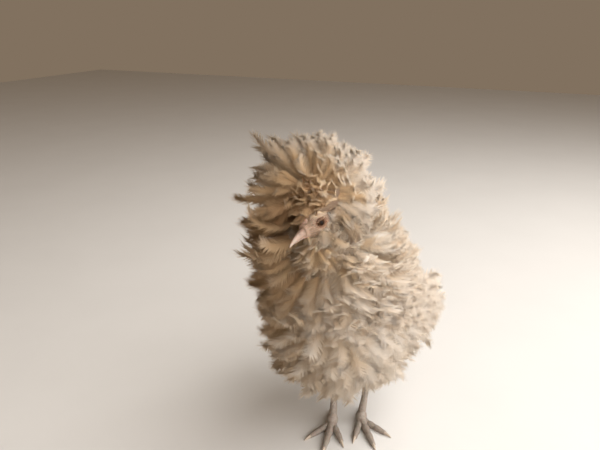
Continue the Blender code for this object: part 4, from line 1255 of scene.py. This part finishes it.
label_parts = {**trunk_parts, "head": skull}
LOWEST_FEATHER = HOCK[2] - 0.002
spots, normals = draw_spots(skin_points, skin_faces, SPOT_DRAWS)
above = spots[:, 2] > LOWEST_FEATHER
spots, normals = spots[above], normals[above]
SPACING = {  # between the roots of the feathers on each part
    "torso": 0.0068, "neck": 0.0050, "wing_left": 0.0078, "wing_right": 0.0078, "thigh_left": 0.0058,
    "thigh_right": 0.0058, "tail": 0.0062, "crest": 0.0036, "beard": 0.0030, "head": 0.0022,
}
kept = thinned(spots, np.full(len(spots), min(SPACING.values())))
spots, normals = spots[kept], normals[kept]
labels = nearest_part(spots, label_parts)
kept = thinned(spots, np.array([SPACING[label] for label in labels]))
spots, normals, labels = spots[kept], normals[kept], labels[kept]
print("feather roots:", {label: int((labels == label).sum()) for label in SPACING})

# %% Spots on the head
HEAD_DRAWS = 24_000
triangle_middles = in_head(skin_points[skin_faces].mean(axis=1))
head_triangles = np.linalg.norm(triangle_middles - (0.006, 0, 0.008), axis=1) < 0.043
head_triangles &= triangle_middles[:, 0] > -0.020
head_spots_drawn, head_normals_drawn = draw_spots(skin_points, skin_faces[head_triangles], HEAD_DRAWS)

# %% [markdown]
# ## A clear view of the face
# No feather may hang in front of the eye, the bare cheek or the beak. The window is a cone on each side of
# the head, and a feather that reaches into it is made shorter, or left out.

# %% The window of the face
FACE_MIDDLE = np.array((0.0170, 0.0065, 0.0010))
FACE_WAY = unit(np.array((0.55, 0.68, 0.48)))
FACE_LONG = unit(np.array((0.0413, -0.011, -0.0150)))
FACE_HALF_LONG = 0.0370
FACE_ABOVE = 0.0200
FACE_BELOW = 0.0085
FACE_FLARE = 0.22
FACE_CLOSE = 0.0035
FACE_RIGHT_DEPTH = 0.014  # on her right the crest may hang over the face from this far out
TRIM_SHARES = (1.0, 0.88, 0.76, 0.64, 0.52, 0.4, 0.3, 0.22)
BOX_ROOM = 0.020
TIP_ROOM = 0.0020
FACE_ACROSS = unit(FACE_LONG - FACE_WAY * (FACE_LONG @ FACE_WAY))
FACE_HIGH = np.cross(FACE_WAY, FACE_ACROSS)
box_low, box_high = np.array(cad_box)
spare = (box_high - box_low) * BOX_ROOM
box_low, box_high = box_low - spare + TIP_ROOM, box_high + spare - TIP_ROOM


def in_window(points):
    """True in front of either side of the face: within an ellipse that flares along the way of sight."""
    spots_on_head = in_head(points)
    on_right = spots_on_head[..., 1] < 0
    spots_on_head[..., 1] = np.abs(spots_on_head[..., 1])
    away = spots_on_head - FACE_MIDDLE
    front = away @ FACE_WAY
    flare = np.where(on_right, 0.0, FACE_FLARE * np.maximum(front, 0))
    high = away @ FACE_HIGH
    half_high = np.where(high > 0, FACE_ABOVE + flare, FACE_BELOW)
    off = ((away @ FACE_ACROSS) / (FACE_HALF_LONG + flare)) ** 2 + (high / half_high) ** 2
    return (off < 1) & (front > FACE_CLOSE) & ~(on_right & (front > FACE_RIGHT_DEPTH))


def outside_box(points):
    """True where a point lies past the solids' box, whose floor is the real floor."""
    past_side = (points[..., :2] < box_low[:2]).any(axis=-1) | (points > box_high).any(axis=-1)
    return past_side | (points[..., 2] < TIP_ROOM)


def trimmed(plan):
    """The plan with feathers shortened until they leave the window and keep to the box, or else left out."""
    share = np.zeros(len(plan))
    for trim in TRIM_SHARES:
        waiting = share == 0
        tried = plan.only(waiting)
        tried.length = tried.length * trim
        centre, _, across, _ = shafts(tried, np.linspace(0.1, EDGE_SHARES[-1], 9))
        half = (tried.width / 2)[:, None, None] * across
        reach = np.concatenate((centre - half, centre, centre + half), axis=1)
        good = ~(in_window(reach) | outside_box(reach)).any(axis=1)
        share[np.flatnonzero(waiting)[good]] = trim
    kept_plan = plan.only(share > 0)
    kept_plan.length = kept_plan.length * share[share > 0]
    kept_plan.width = kept_plan.width * share[share > 0] ** 0.8
    return kept_plan


# %% [markdown]
# ## Sizes that vary
# Every kind of feather has a middle length, width, lift and so on, and each feather differs a little from
# it. A kind is written down as pairs, the middle and the spread, and one helper draws the rest.

# %% Feathers from middles and spreads
ROOT_DEPTH = 0.001


def varied(roots, outs, lie, depth=ROOT_DEPTH, **sizes):
    """A plan from (middle, spread) pairs, drawn in the order they are given. A size alone doesn't vary.

    Length, width and lift are middle * (1 + chance), the others middle + chance, with chance between
    -spread and +spread.
    """
    drawn_sizes = {}
    for name, size in sizes.items():
        if isinstance(size, tuple):
            middle, spread = size
            chance = rng.uniform(-spread, spread, len(roots))
            size = middle * (1 + chance) if name in ("length", "width", "lift") else middle + chance
        drawn_sizes[name] = size
    return Plan(root=roots - outs * depth, lie=lie, out=outs, **drawn_sizes)


def sown(planner, roots, outs, spacing):
    """The planner's feathers on those roots that stand apart by the spacing."""
    apart = thinned(roots, np.full(len(roots), spacing))
    return planner(roots[apart], outs[apart])


# %% [markdown]
# ## The crest
# The crest is a globe of feathers on a knob of the skull. They part at a hollow over the left eye, lie
# away from it on every side, stand up and curl over. They are longest low on the far side.

# %% Crest
DOWN = np.array((0.0, 0.0, -1.0))
HEAVY_WAY = unit(np.array((-0.91, -0.41, 0.0)))  # the far side, where the crest is fullest
CREST_RISES = (-20, 10, 34, 58, 82)  # degrees above the level of the crest's middle
CREST_LENGTHS = (0.074, 0.068, 0.057, 0.048, 0.041)


def crest_plan(roots, outs):
    """Away from the hollow at the forehead, longer low on the far side and shorter in the hollow."""
    out = unit(roots - on_head(*CREST_PLACE))
    forehead = unit(AHEAD + UP * 0.45 + LEFT * 0.6)
    rise = np.arcsin(np.clip(out @ UP, -1, 1))
    length = np.interp(np.degrees(rise), CREST_RISES, CREST_LENGTHS)
    length = length * rng.choice((1.0, 0.80, 0.60), len(roots), p=(0.46, 0.30, 0.24))
    heavy = out @ HEAVY_WAY
    far_side, near_side = np.maximum(0, heavy), np.maximum(0, -heavy)
    low = falling(rise, radians(35), radians(30))
    nape = np.clip(-(out @ AHEAD) * 1.5, 0, 1) * low
    gap = np.linalg.norm(out - forehead, axis=1)
    hollow = hill(gap, 0.62)
    layer = np.interp(gap, (0.1, 0.5, 0.85, 1.15), (0.34, 0.56, 0.82, 1.0))
    rim = 0.42 * rising(gap, 0.8, 0.5)
    astray = hollow[:, None] * rng.normal(0, 0.8, roots.shape)
    hanging = DOWN * (0.9 * far_side * low + 0.8 * nape)[:, None]
    plan = varied(
        roots, outs, out - forehead * 1.3 - UP * 0.2 + hanging + astray,
        length=(length * (1 + 0.52 * far_side - 0.37 * near_side), 0.14), width=(0.0180, 0.22),
        lift=(radians(26), 0.3), curl=(radians(94), 0.45), twist=(0, 0.35), bend=(0, 0.16), tone=(0.30, 0.14),
    )
    plan.length *= layer
    plan.width *= 0.45 + 0.55 * layer
    plan.lift += radians(24) * hollow
    plan.curl *= 1 - 0.25 * hollow - 0.45 * nape
    plan.twist += 0.7 * far_side
    # Painted shade: the tone is darker in the hollow and low on the far side, her right, away from the lamp.
    # It is paler at the rim, except low on the far side.
    plan.tone = plan.tone - 0.34 * hollow + rim * (1 - 0.9 * far_side * low) - 0.50 * far_side * low
    return plan


def hollow_plan(roots, outs):
    """Short curls that fill the hollow of the crest, each on its own way, dark as painted shade in the recess.
    """
    return varied(
        roots, outs, rng.normal(0, 1, roots.shape), length=(0.015, 0.3), width=(0.0062, 0.25),
        lift=(radians(48), 0.35), curl=(radians(70), 0.8), twist=(0, 0.45), bend=(0, 0.3), tone=(-0.38, 0.14),
    )


drawn = in_head(head_spots_drawn)
in_hollow = (np.linalg.norm(drawn - (0.010, 0.007, 0.033), axis=1) < 0.018) & (drawn[:, 2] > 0.0105)
hollow_tuft = trimmed(sown(hollow_plan, head_spots_drawn[in_hollow], head_normals_drawn[in_hollow], 0.0026))
coat_piece("crest_hollow", hollow_tuft, 22, ragged=1.4, fine=0.8)
crest_spots = in_head(spots)
on_brow = (labels == "crest") & (crest_spots[:, 0] > 0.004) & (crest_spots[:, 2] < 0.028)
on_crest = (labels == "crest") & ~on_brow
crest = trimmed(crest_plan(spots[on_crest], normals[on_crest]))
front = (crest.root - on_head(*CREST_PLACE)) @ AHEAD > 0
coat_piece("crest_front", crest.only(front), BARBS, nodes=["crest"])
coat_piece("crest_back", crest.only(~front), BARBS)

# %% [markdown]
# ## Beard, muffs and face
# Under the beak and over the cheeks the feathers are short, narrow and soft. They lie away from the beak,
# down and back, and curl out. On the face itself there is only thin down.

# %% Beard and face down
def head_lie(roots):
    """Away from the beak's root along the skin, and down under the eye's level."""
    spot = in_head(roots)
    away = unit(spot - (0.030, 0.0, 0.000)) * (1.0, 0.4, 1.0)
    return away @ HEAD_AXES + DOWN * 0.35


def away_from_beak(roots):
    """Back over the brow above the eye's level, and back and down under it."""
    spot = in_head(roots)
    return unit(spot - (0.036, 0.0, -0.002)) @ HEAD_AXES + rng.normal(0, 0.12, (len(roots), 3))


def eye_gap(spots_on_head, weights):
    """Distance from the eye's middle, on either side, with the three axes weighted."""
    return np.linalg.norm((np.abs(spots_on_head) - np.abs(EYE_PLACE)) * weights, axis=1)


def beard_plan(roots, outs):
    """Beard and muffs: longer and more curled the lower they grow."""
    low = falling(in_head(roots)[:, 2], -0.008, 0.024)
    return varied(
        roots, outs, head_lie(roots) + DOWN * 0.5, length=(0.011 + 0.018 * low, 0.25),
        width=(0.0070 + 0.0040 * low, 0.25), lift=(radians(14) + 0.26 * low, 0.3),
        curl=(radians(22) + 0.9 * low, 0.4), twist=(0, 0.4), bend=(0, 0.25), tone=(0.26, 0.12),
    )


def ear_plan(roots, outs):
    """Feathers behind the eye, which lie back over the ear."""
    return varied(
        roots, outs, head_lie(roots) - AHEAD * 0.5, length=(0.017, 0.25), width=(0.0075, 0.25),
        lift=(radians(10), 0.3), curl=(radians(18), 0.3), twist=(0, 0.3), bend=(0, 0.2), tone=(0.28, 0.10),
    )


def temple_plan(roots, outs):
    """Long narrow curls that hang down behind the face."""
    lie = DOWN - AHEAD * 0.45 + rng.normal(0, 0.18, roots.shape)
    return varied(
        roots, outs, lie, length=(0.034, 0.2), width=(0.0090, 0.2), lift=(radians(16), 0.2),
        curl=(radians(42), 0.5), twist=(0, 0.8), bend=(0, 0.25), tone=(0.26, 0.12),
    )


def brow_plan(roots, outs):
    """Short curled feathers on the forehead, between the comb and the crest, their low tone painted shade
    under the crest.
    """
    raised = rising(in_head(roots)[:, 2], 0.009, 0.020)
    lie = AHEAD * 0.4 - UP + rng.normal(0, 0.35, roots.shape)
    return varied(
        roots, outs, lie, length=(0.009 + 0.009 * raised, 0.25), width=(0.0052 + 0.002 * raised, 0.25),
        lift=(radians(48), 0.3), curl=(radians(75), 0.45), twist=(0, 0.45), bend=(0, 0.25), tone=(0.20, 0.16),
    )


def down_plan(roots, outs):
    """Thin down on the face, which grows longer away from the eye and the beak."""
    off = eye_gap(in_head(roots), (1, 0.3, 1))
    length = np.interp(off, (0.005, 0.010, 0.018, 0.030), (0.0012, 0.0024, 0.0048, 0.0090))
    return varied(
        roots, outs, away_from_beak(roots), 0.0003, length=(length, 0.2), width=length * 0.55,
        lift=(radians(8), 0.4), curl=(radians(6), 0.12), twist=(0, 0.2), bend=(0, 0.2), tone=(0.56, 0.08),
    )


on_face = in_head(spots)
head_label = labels == "head"
bare = (eye_gap(on_face, (1.0, 0.35, 1.25)) < 0.0088) & head_label
low_cheek = head_label & (on_face[:, 2] < gape_line(on_face[:, 0]) - 0.0012)
brow_label = (head_label & (on_face[:, 2] > 0.0092) & (on_face[:, 0] < 0.0175) & ~bare) | on_brow
behind = head_label & ~low_cheek & ~brow_label & (on_face[:, 0] < -0.006)
below_gape = (drawn[:, 2] < gape_line(drawn[:, 0]) - 0.0012) & (drawn[:, 0] < 0.0245)
muff_roots = np.concatenate((spots[labels == "beard"], head_spots_drawn[below_gape]))
muff_outs = np.concatenate((normals[labels == "beard"], head_normals_drawn[below_gape]))
beard = trimmed(sown(beard_plan, muff_roots, muff_outs, SPACING["beard"]))
ear = trimmed(sown(ear_plan, spots[behind], normals[behind], 0.0029))
brow = trimmed(sown(brow_plan, spots[brow_label], normals[brow_label], 0.0036))
coat_piece("beard_and_muffs", beard, 30, fine=0.8, nodes=["beard"])
coat_piece("brow_feathers", brow, 24, fine=0.8)
coat_piece("ear_feathers", ear, 30, fine=0.8)
at_temple = (drawn[:, 0] > -0.027) & (drawn[:, 0] < -0.014) & (drawn[:, 2] > 0.006) & (drawn[:, 2] < 0.026)
temple = sown(temple_plan, head_spots_drawn[at_temple], head_normals_drawn[at_temple], 0.0034)
coat_piece("temple_curls", temple, 34, fine=0.8)
downy = (eye_gap(drawn, (1.0, 0.35, 1.25)) > 0.0054) & (drawn[:, 0] < 0.0235)
downy &= (drawn[:, 2] > gape_line(drawn[:, 0]) - 0.003) & (drawn[:, 0] > -0.022) & (drawn[:, 2] < 0.034)
down = sown(down_plan, head_spots_drawn[downy], head_normals_drawn[downy], 0.00125)
coat_piece("face_down", down, 4, coat=down_coat)

# %% [markdown]
# ## Ruff, breast, back and belly
# On the body all feathers grow backwards and down, as on any hen, and then each one curls out and up.
# That turns the smooth coat of a hen into a ball of tips.

# %% Body plans
def body_tone_and_painted_light(roots):
    """Whiter low and warmer high; lighter to her left and browner to her right, which is painted light and
    shade from the lamp on her left.
    """
    local = roots - SHIFT
    return 0.42 + np.where(local[:, 0] > 0, 2.8, 9.0) * local[:, 0] + 1.2 * (0.22 - local[:, 2])


NECK_AXIS = np.array((0.0, -0.060, 0.0))
SMOOTH_WAY = unit(np.array((0.75, -0.66)))  # her front left, where the curls are loosest


def ruff_plan(roots, outs):
    """The hackle of the neck: longest high on the far side, short and flat on the near cheek."""
    count = len(roots)
    local = roots - SHIFT
    level = rising(local[:, 2], 0.24, 0.10)
    round_neck = unit((local - NECK_AXIS) * (1, 1, 0)) @ HEAVY_WAY
    right, left = np.maximum(0, round_neck), np.maximum(0, -round_neck)
    cheek = rising(local[:, 2], 0.300, 0.03) * np.clip(left * 2, 0, 1) * rising(-local[:, 1], 0.03, 0.04)
    smooth = np.clip(unit(local - NECK_AXIS)[:, :2] @ SMOOTH_WAY, 0, 1) ** 2
    length = 0.064 * (1 + 0.26 * right * level - 0.06 * left - 0.16 * cheek)
    return Plan(
        root=roots - outs * ROOT_DEPTH, out=outs,
        lie=DOWN + np.array((0, 1.0, 0)) * (0.15 + 0.6 * cheek)[:, None],
        length=length * (1 + rng.uniform(-0.20, 0.20, count)),
        width=(0.0205 - 0.005 * cheek) * (1 + rng.uniform(-0.2, 0.2, count)),
        lift=radians(24) * (1 + rng.uniform(-0.3, 0.3, count)) * (1 - 0.6 * cheek),
        curl=(radians(86) + rng.uniform(-0.45, 0.45, count)) * (1 - 0.30 * smooth) * (1 - 0.45 * cheek),
        twist=rng.uniform(-0.3, 0.5, count) + right * rng.uniform(0.2, 1.1, count),
        bend=rng.uniform(-0.16, 0.16, count),
        # Painted light: the tone is raised on the near cheek, where the feathers shade one another.
        tone=body_tone_and_painted_light(roots) + 0.18 * cheek + rng.uniform(-0.14, 0.14, count),
    )


def torso_plan(roots, outs):
    """Backwards over the body and down at both ends, shorter on the belly, the saddle and her left."""
    local = roots - SHIFT
    forward = -local[:, 1]
    ahead = np.clip((forward - 0.02) / 0.09, 0, None)
    behind_share = np.clip((-forward - 0.07) / 0.06, 0, None)
    sideways = 0.6 * behind_share * np.clip(local[:, 0] / 0.035, -1, 1)
    lie = np.stack((sideways, 1 - 0.6 * behind_share, -0.25 - 1.1 * ahead - 0.9 * behind_share), axis=1)
    under = falling(local[:, 2], 0.16, 0.03)
    saddle = falling(forward, 0.02, 0.08) * rising(local[:, 2], 0.18, 0.04)
    smooth = np.clip(outs[:, :2] @ SMOOTH_WAY, 0, 1) ** 2
    length = 0.063 - 0.005 * under - 0.012 * saddle - 0.012 * rising(local[:, 0], 0, 0.05)
    plan = varied(
        roots, outs, lie, length=(length, 0.20),
        width=(0.0225, 0.2), lift=(radians(22) - 0.08 * under, 0.3), curl=(radians(88), 0.45),
        twist=(0, 0.3), bend=(0, 0.16), tone=(body_tone_and_painted_light(roots), 0.14),
    )
    plan.curl *= 1 - 0.25 * smooth
    return plan


def wing_plan(roots, outs):
    """Coverts of the folded wing, a little longer to the rear."""
    back = falling(-(roots - SHIFT)[:, 1], 0.04, 0.10)
    return varied(
        roots, outs, np.array((0, 1.0, -0.35)), length=(0.047 + 0.010 * back, 0.20), width=(0.0195, 0.2),
        lift=(radians(22), 0.25), curl=(radians(74), 0.45), twist=(0, 0.4), bend=(0, 0.15),
        tone=(body_tone_and_painted_light(roots), 0.12),
    )


def thigh_plan(roots, outs):
    """Curls that hang over the thighs, shorter towards the hock."""
    low = falling((roots - SHIFT)[:, 2], 0.150, 0.05)
    return varied(
        roots, outs, np.array((0, 0.3, -1.0)), length=(0.050 - 0.018 * low, 0.18), width=(0.0155, 0.2),
        lift=(radians(30), 0.25), curl=(radians(52), 0.5), twist=(0, 0.4), bend=(0, 0.2), tone=(0.55, 0.14),
    )


def tail_cover_plan(roots, outs):
    """Curls over the root of the tail fan."""
    return varied(
        roots, outs, TAIL_WAY, length=(0.050, 0.15), width=(0.0150, 0.2), lift=(radians(30), 0.3),
        curl=(radians(60), 0.5), twist=(0, 0.4), bend=(0, 0.2), tone=(0.52, 0.14),
    )


# %% Grow the body coat
def grow(name, chosen, planner, barbs=BARBS, nodes=()):
    """One coat piece from the chosen spots on the body."""
    coat_piece(name, trimmed(planner(spots[chosen], normals[chosen])), barbs, nodes=nodes)


forward_of = -(spots - SHIFT)[:, 1]
ahead_half, neck_ahead = forward_of > 0.0, forward_of > 0.040
is_neck, is_torso = labels == "neck", labels == "torso"
grow("ruff_front", is_neck & neck_ahead, ruff_plan, nodes=["neck"])
grow("ruff_back", is_neck & ~neck_ahead, ruff_plan)
grow("breast_feathers", is_torso & ahead_half, torso_plan, nodes=["torso"])
grow("back_feathers", is_torso & ~ahead_half, torso_plan, 44)
for side, name in SIDES:
    grow(f"wing_coverts_{name}", labels == f"wing_{name}", wing_plan)
    grow(f"thigh_feathers_{name}", labels == f"thigh_{name}", thigh_plan, nodes=[f"thigh_{name}"])
grow("tail_coverts", labels == "tail", tail_cover_plan)

# %% [markdown]
# ## Flight and tail feathers
# A hen's wing ends in two tiers of long feathers, the primaries under the secondaries, and her tail in a
# short fan. They are placed one by one on the skin where a line from inside meets it.

# %% Rays to the skin
skin_tree = BVHTree.FromPolygons(skin_points.tolist(), skin_faces.tolist())
FAR = 0.3


def on_skin(starts, ways):
    """Where lines from starts along ways leave the skin, and the skin's normal there."""
    hits, hit_normals = [], []
    for start, way in zip(starts, unit(ways)):
        hit, normal, _, _ = skin_tree.ray_cast(Vector(start + way * FAR), Vector(-way))
        hits.append(hit)
        hit_normals.append(normal)
    return np.array(hits), np.array(hit_normals)


TIERS = (  # count, length, width, lowest and highest share of the wing's rear edge
    (8, 0.080, 0.0150, -0.66, -0.10),
    (9, 0.066, 0.0175, 0.00, 0.66),
)
for side, name in SIDES:
    plans = []
    for count, length, width, low, high in TIERS:
        share = np.linspace(low, high, count)
        offsets = np.stack((np.zeros(count), np.full(count, 0.030), WING_SIZE[2] * share), axis=1)
        ways = np.stack((np.full(count, side * 0.30), np.ones(count), share * 0.8 - 0.12), axis=1)
        roots, outs = on_skin(wing_middle(side) + offsets, ways)
        lie = np.stack((side * (0.04 + 0.01 * np.arange(count)), np.ones(count), -0.55 + 0.45 * share), axis=1)
        plans.append(
            varied(
                roots, outs, lie, 0.003, length=(length, 0.06), width=(width, 0.08), lift=radians(14),
                curl=(radians(38), 0.25), twist=(side * 0.25, 0.2), bend=(0, 0.08), tone=(0.55, 0.1),
            )
        )
    coat_piece(f"flights_{name}", trimmed(merged(plans)), 34, ragged=0.8, nodes=[f"wing_{name}"])

FAN = (  # count, length, width, half the fan's spread and its rise in degrees
    (9, 0.060, 0.0185, 60, 20),
    (6, 0.054, 0.0185, 36, 58),
    (4, 0.042, 0.0165, 44, -30),
)
inside_tail = place(*TAIL_ROOT) + TAIL_WAY * (TAIL_STEM * 0.55)
plans = []
for count, length, width, fan, rise in FAN:
    turn = np.radians(fan) * np.linspace(-1, 1, count)
    tilt = radians(rise)
    sideways = np.sin(turn)[:, None] * SIDEWAYS
    ways = TAIL_WAY * cos(tilt) + TAIL_HIGH * sin(tilt) + sideways * 0.9
    roots, outs = on_skin(np.repeat([inside_tail], count, axis=0), ways)
    plans.append(
        varied(
            roots, outs, TAIL_WAY + sideways, 0.002, length=(length, 0.07), width=(width, 0.1),
            lift=radians(20), curl=(radians(48), 0.25), twist=(0, 0.3), bend=(0, 0.08), tone=(0.5, 0.1),
        )
    )
coat_piece("tail_fan", trimmed(merged(plans)), 30, ragged=0.8, nodes=["tail"])

# %% [markdown]
# ## Floor, light and camera
# The stage is a plain pale floor. A wide lamp shines soft from her left, as daylight does through an open
# side, a smaller one from behind, and a weak warm one from the front, so her right falls into warm shade. The
# camera stands where the photographer stood: higher than the hen, on her left and ahead of her.

# %% Floor
FLOOR_HALF = 4.0
FLOOR_PALE, FLOOR_DIM = (0.66, 0.645, 0.62), (0.62, 0.605, 0.58)
floor_points = np.array(((-1, -1, 0), (1, -1, 0), (1, 1, 0), (-1, 1, 0)), float) * FLOOR_HALF
floor = mesh_object("floor", floor_points, np.array(((0, 1, 2), (0, 2, 3))), smooth=False)
floor_finish, _ = mottled("pale_floor", 6.0, 3.0, FLOOR_PALE, FLOOR_DIM, Roughness=0.85)
floor.data.materials.append(floor_finish.material)

# %% Light
HEN_MIDDLE = np.array((0.0, 0.0, 0.22))
LAMPS = (  # name, azimuth, elevation, distance, size, power and colour
    ("key", 72, 28, 1.9, 3.9, 126, (1.0, 0.98, 0.97)),
    ("top", 140, 55, 1.8, 1.2, 20, (1.0, 0.99, 0.97)),
    ("fill", 25, 12, 2.2, 2.6, 9, (1.0, 0.80, 0.58)),
)
SKY_COLOUR, SKY_STRENGTH = (1.0, 0.75, 0.52, 1), 0.22


def around(azimuth, elevation, distance):
    """A point seen from the hen: azimuth 0 is straight ahead of her, positive to her left."""
    return HEN_MIDDLE + distance * heading(radians(azimuth), radians(elevation))


def aim(obj, spot, target):
    """Turns an object at spot so that its own -Z looks at target."""
    back = unit(spot - target)
    obj.location = spot
    obj.rotation_mode = "QUATERNION"
    obj.rotation_quaternion = Vector(back).to_track_quat("Z", "Y")


def lamp(name, azimuth, elevation, distance, size, power, colour):
    """A round lamp that shines on the middle of the hen."""
    light = bpy.data.lights.new(name, "AREA")
    light.shape = "DISK"
    light.size = size
    light.energy = power
    light.color = colour
    obj = bpy.data.objects.new(name, light)
    bpy.context.scene.collection.objects.link(obj)
    aim(obj, around(azimuth, elevation, distance), HEN_MIDDLE)


for row in LAMPS:
    lamp(*row)
world = bpy.data.worlds.new("studio")
world.use_nodes = True
sky = world.node_tree.nodes["Background"].inputs
sky["Color"].default_value, sky["Strength"].default_value = SKY_COLOUR, SKY_STRENGTH
bpy.context.scene.world = world
bpy.context.scene.view_settings.view_transform = "Standard"

# %% Camera
CAMERA_PLACE = np.array((0.239, -0.694, 0.581))
CAMERA_TURN = radians(24.105)
CAMERA_DIP = radians(20.044)
SENSOR = LENS = 36.0
camera_data = bpy.data.cameras.new("camera")
camera_data.sensor_width = SENSOR
camera_data.lens = LENS
camera = bpy.data.objects.new("camera", camera_data)
bpy.context.scene.collection.objects.link(camera)
spot = CAMERA_PLACE + SHIFT
aim(camera, spot, spot - heading(CAMERA_TURN, CAMERA_DIP))
bpy.context.scene.camera = camera
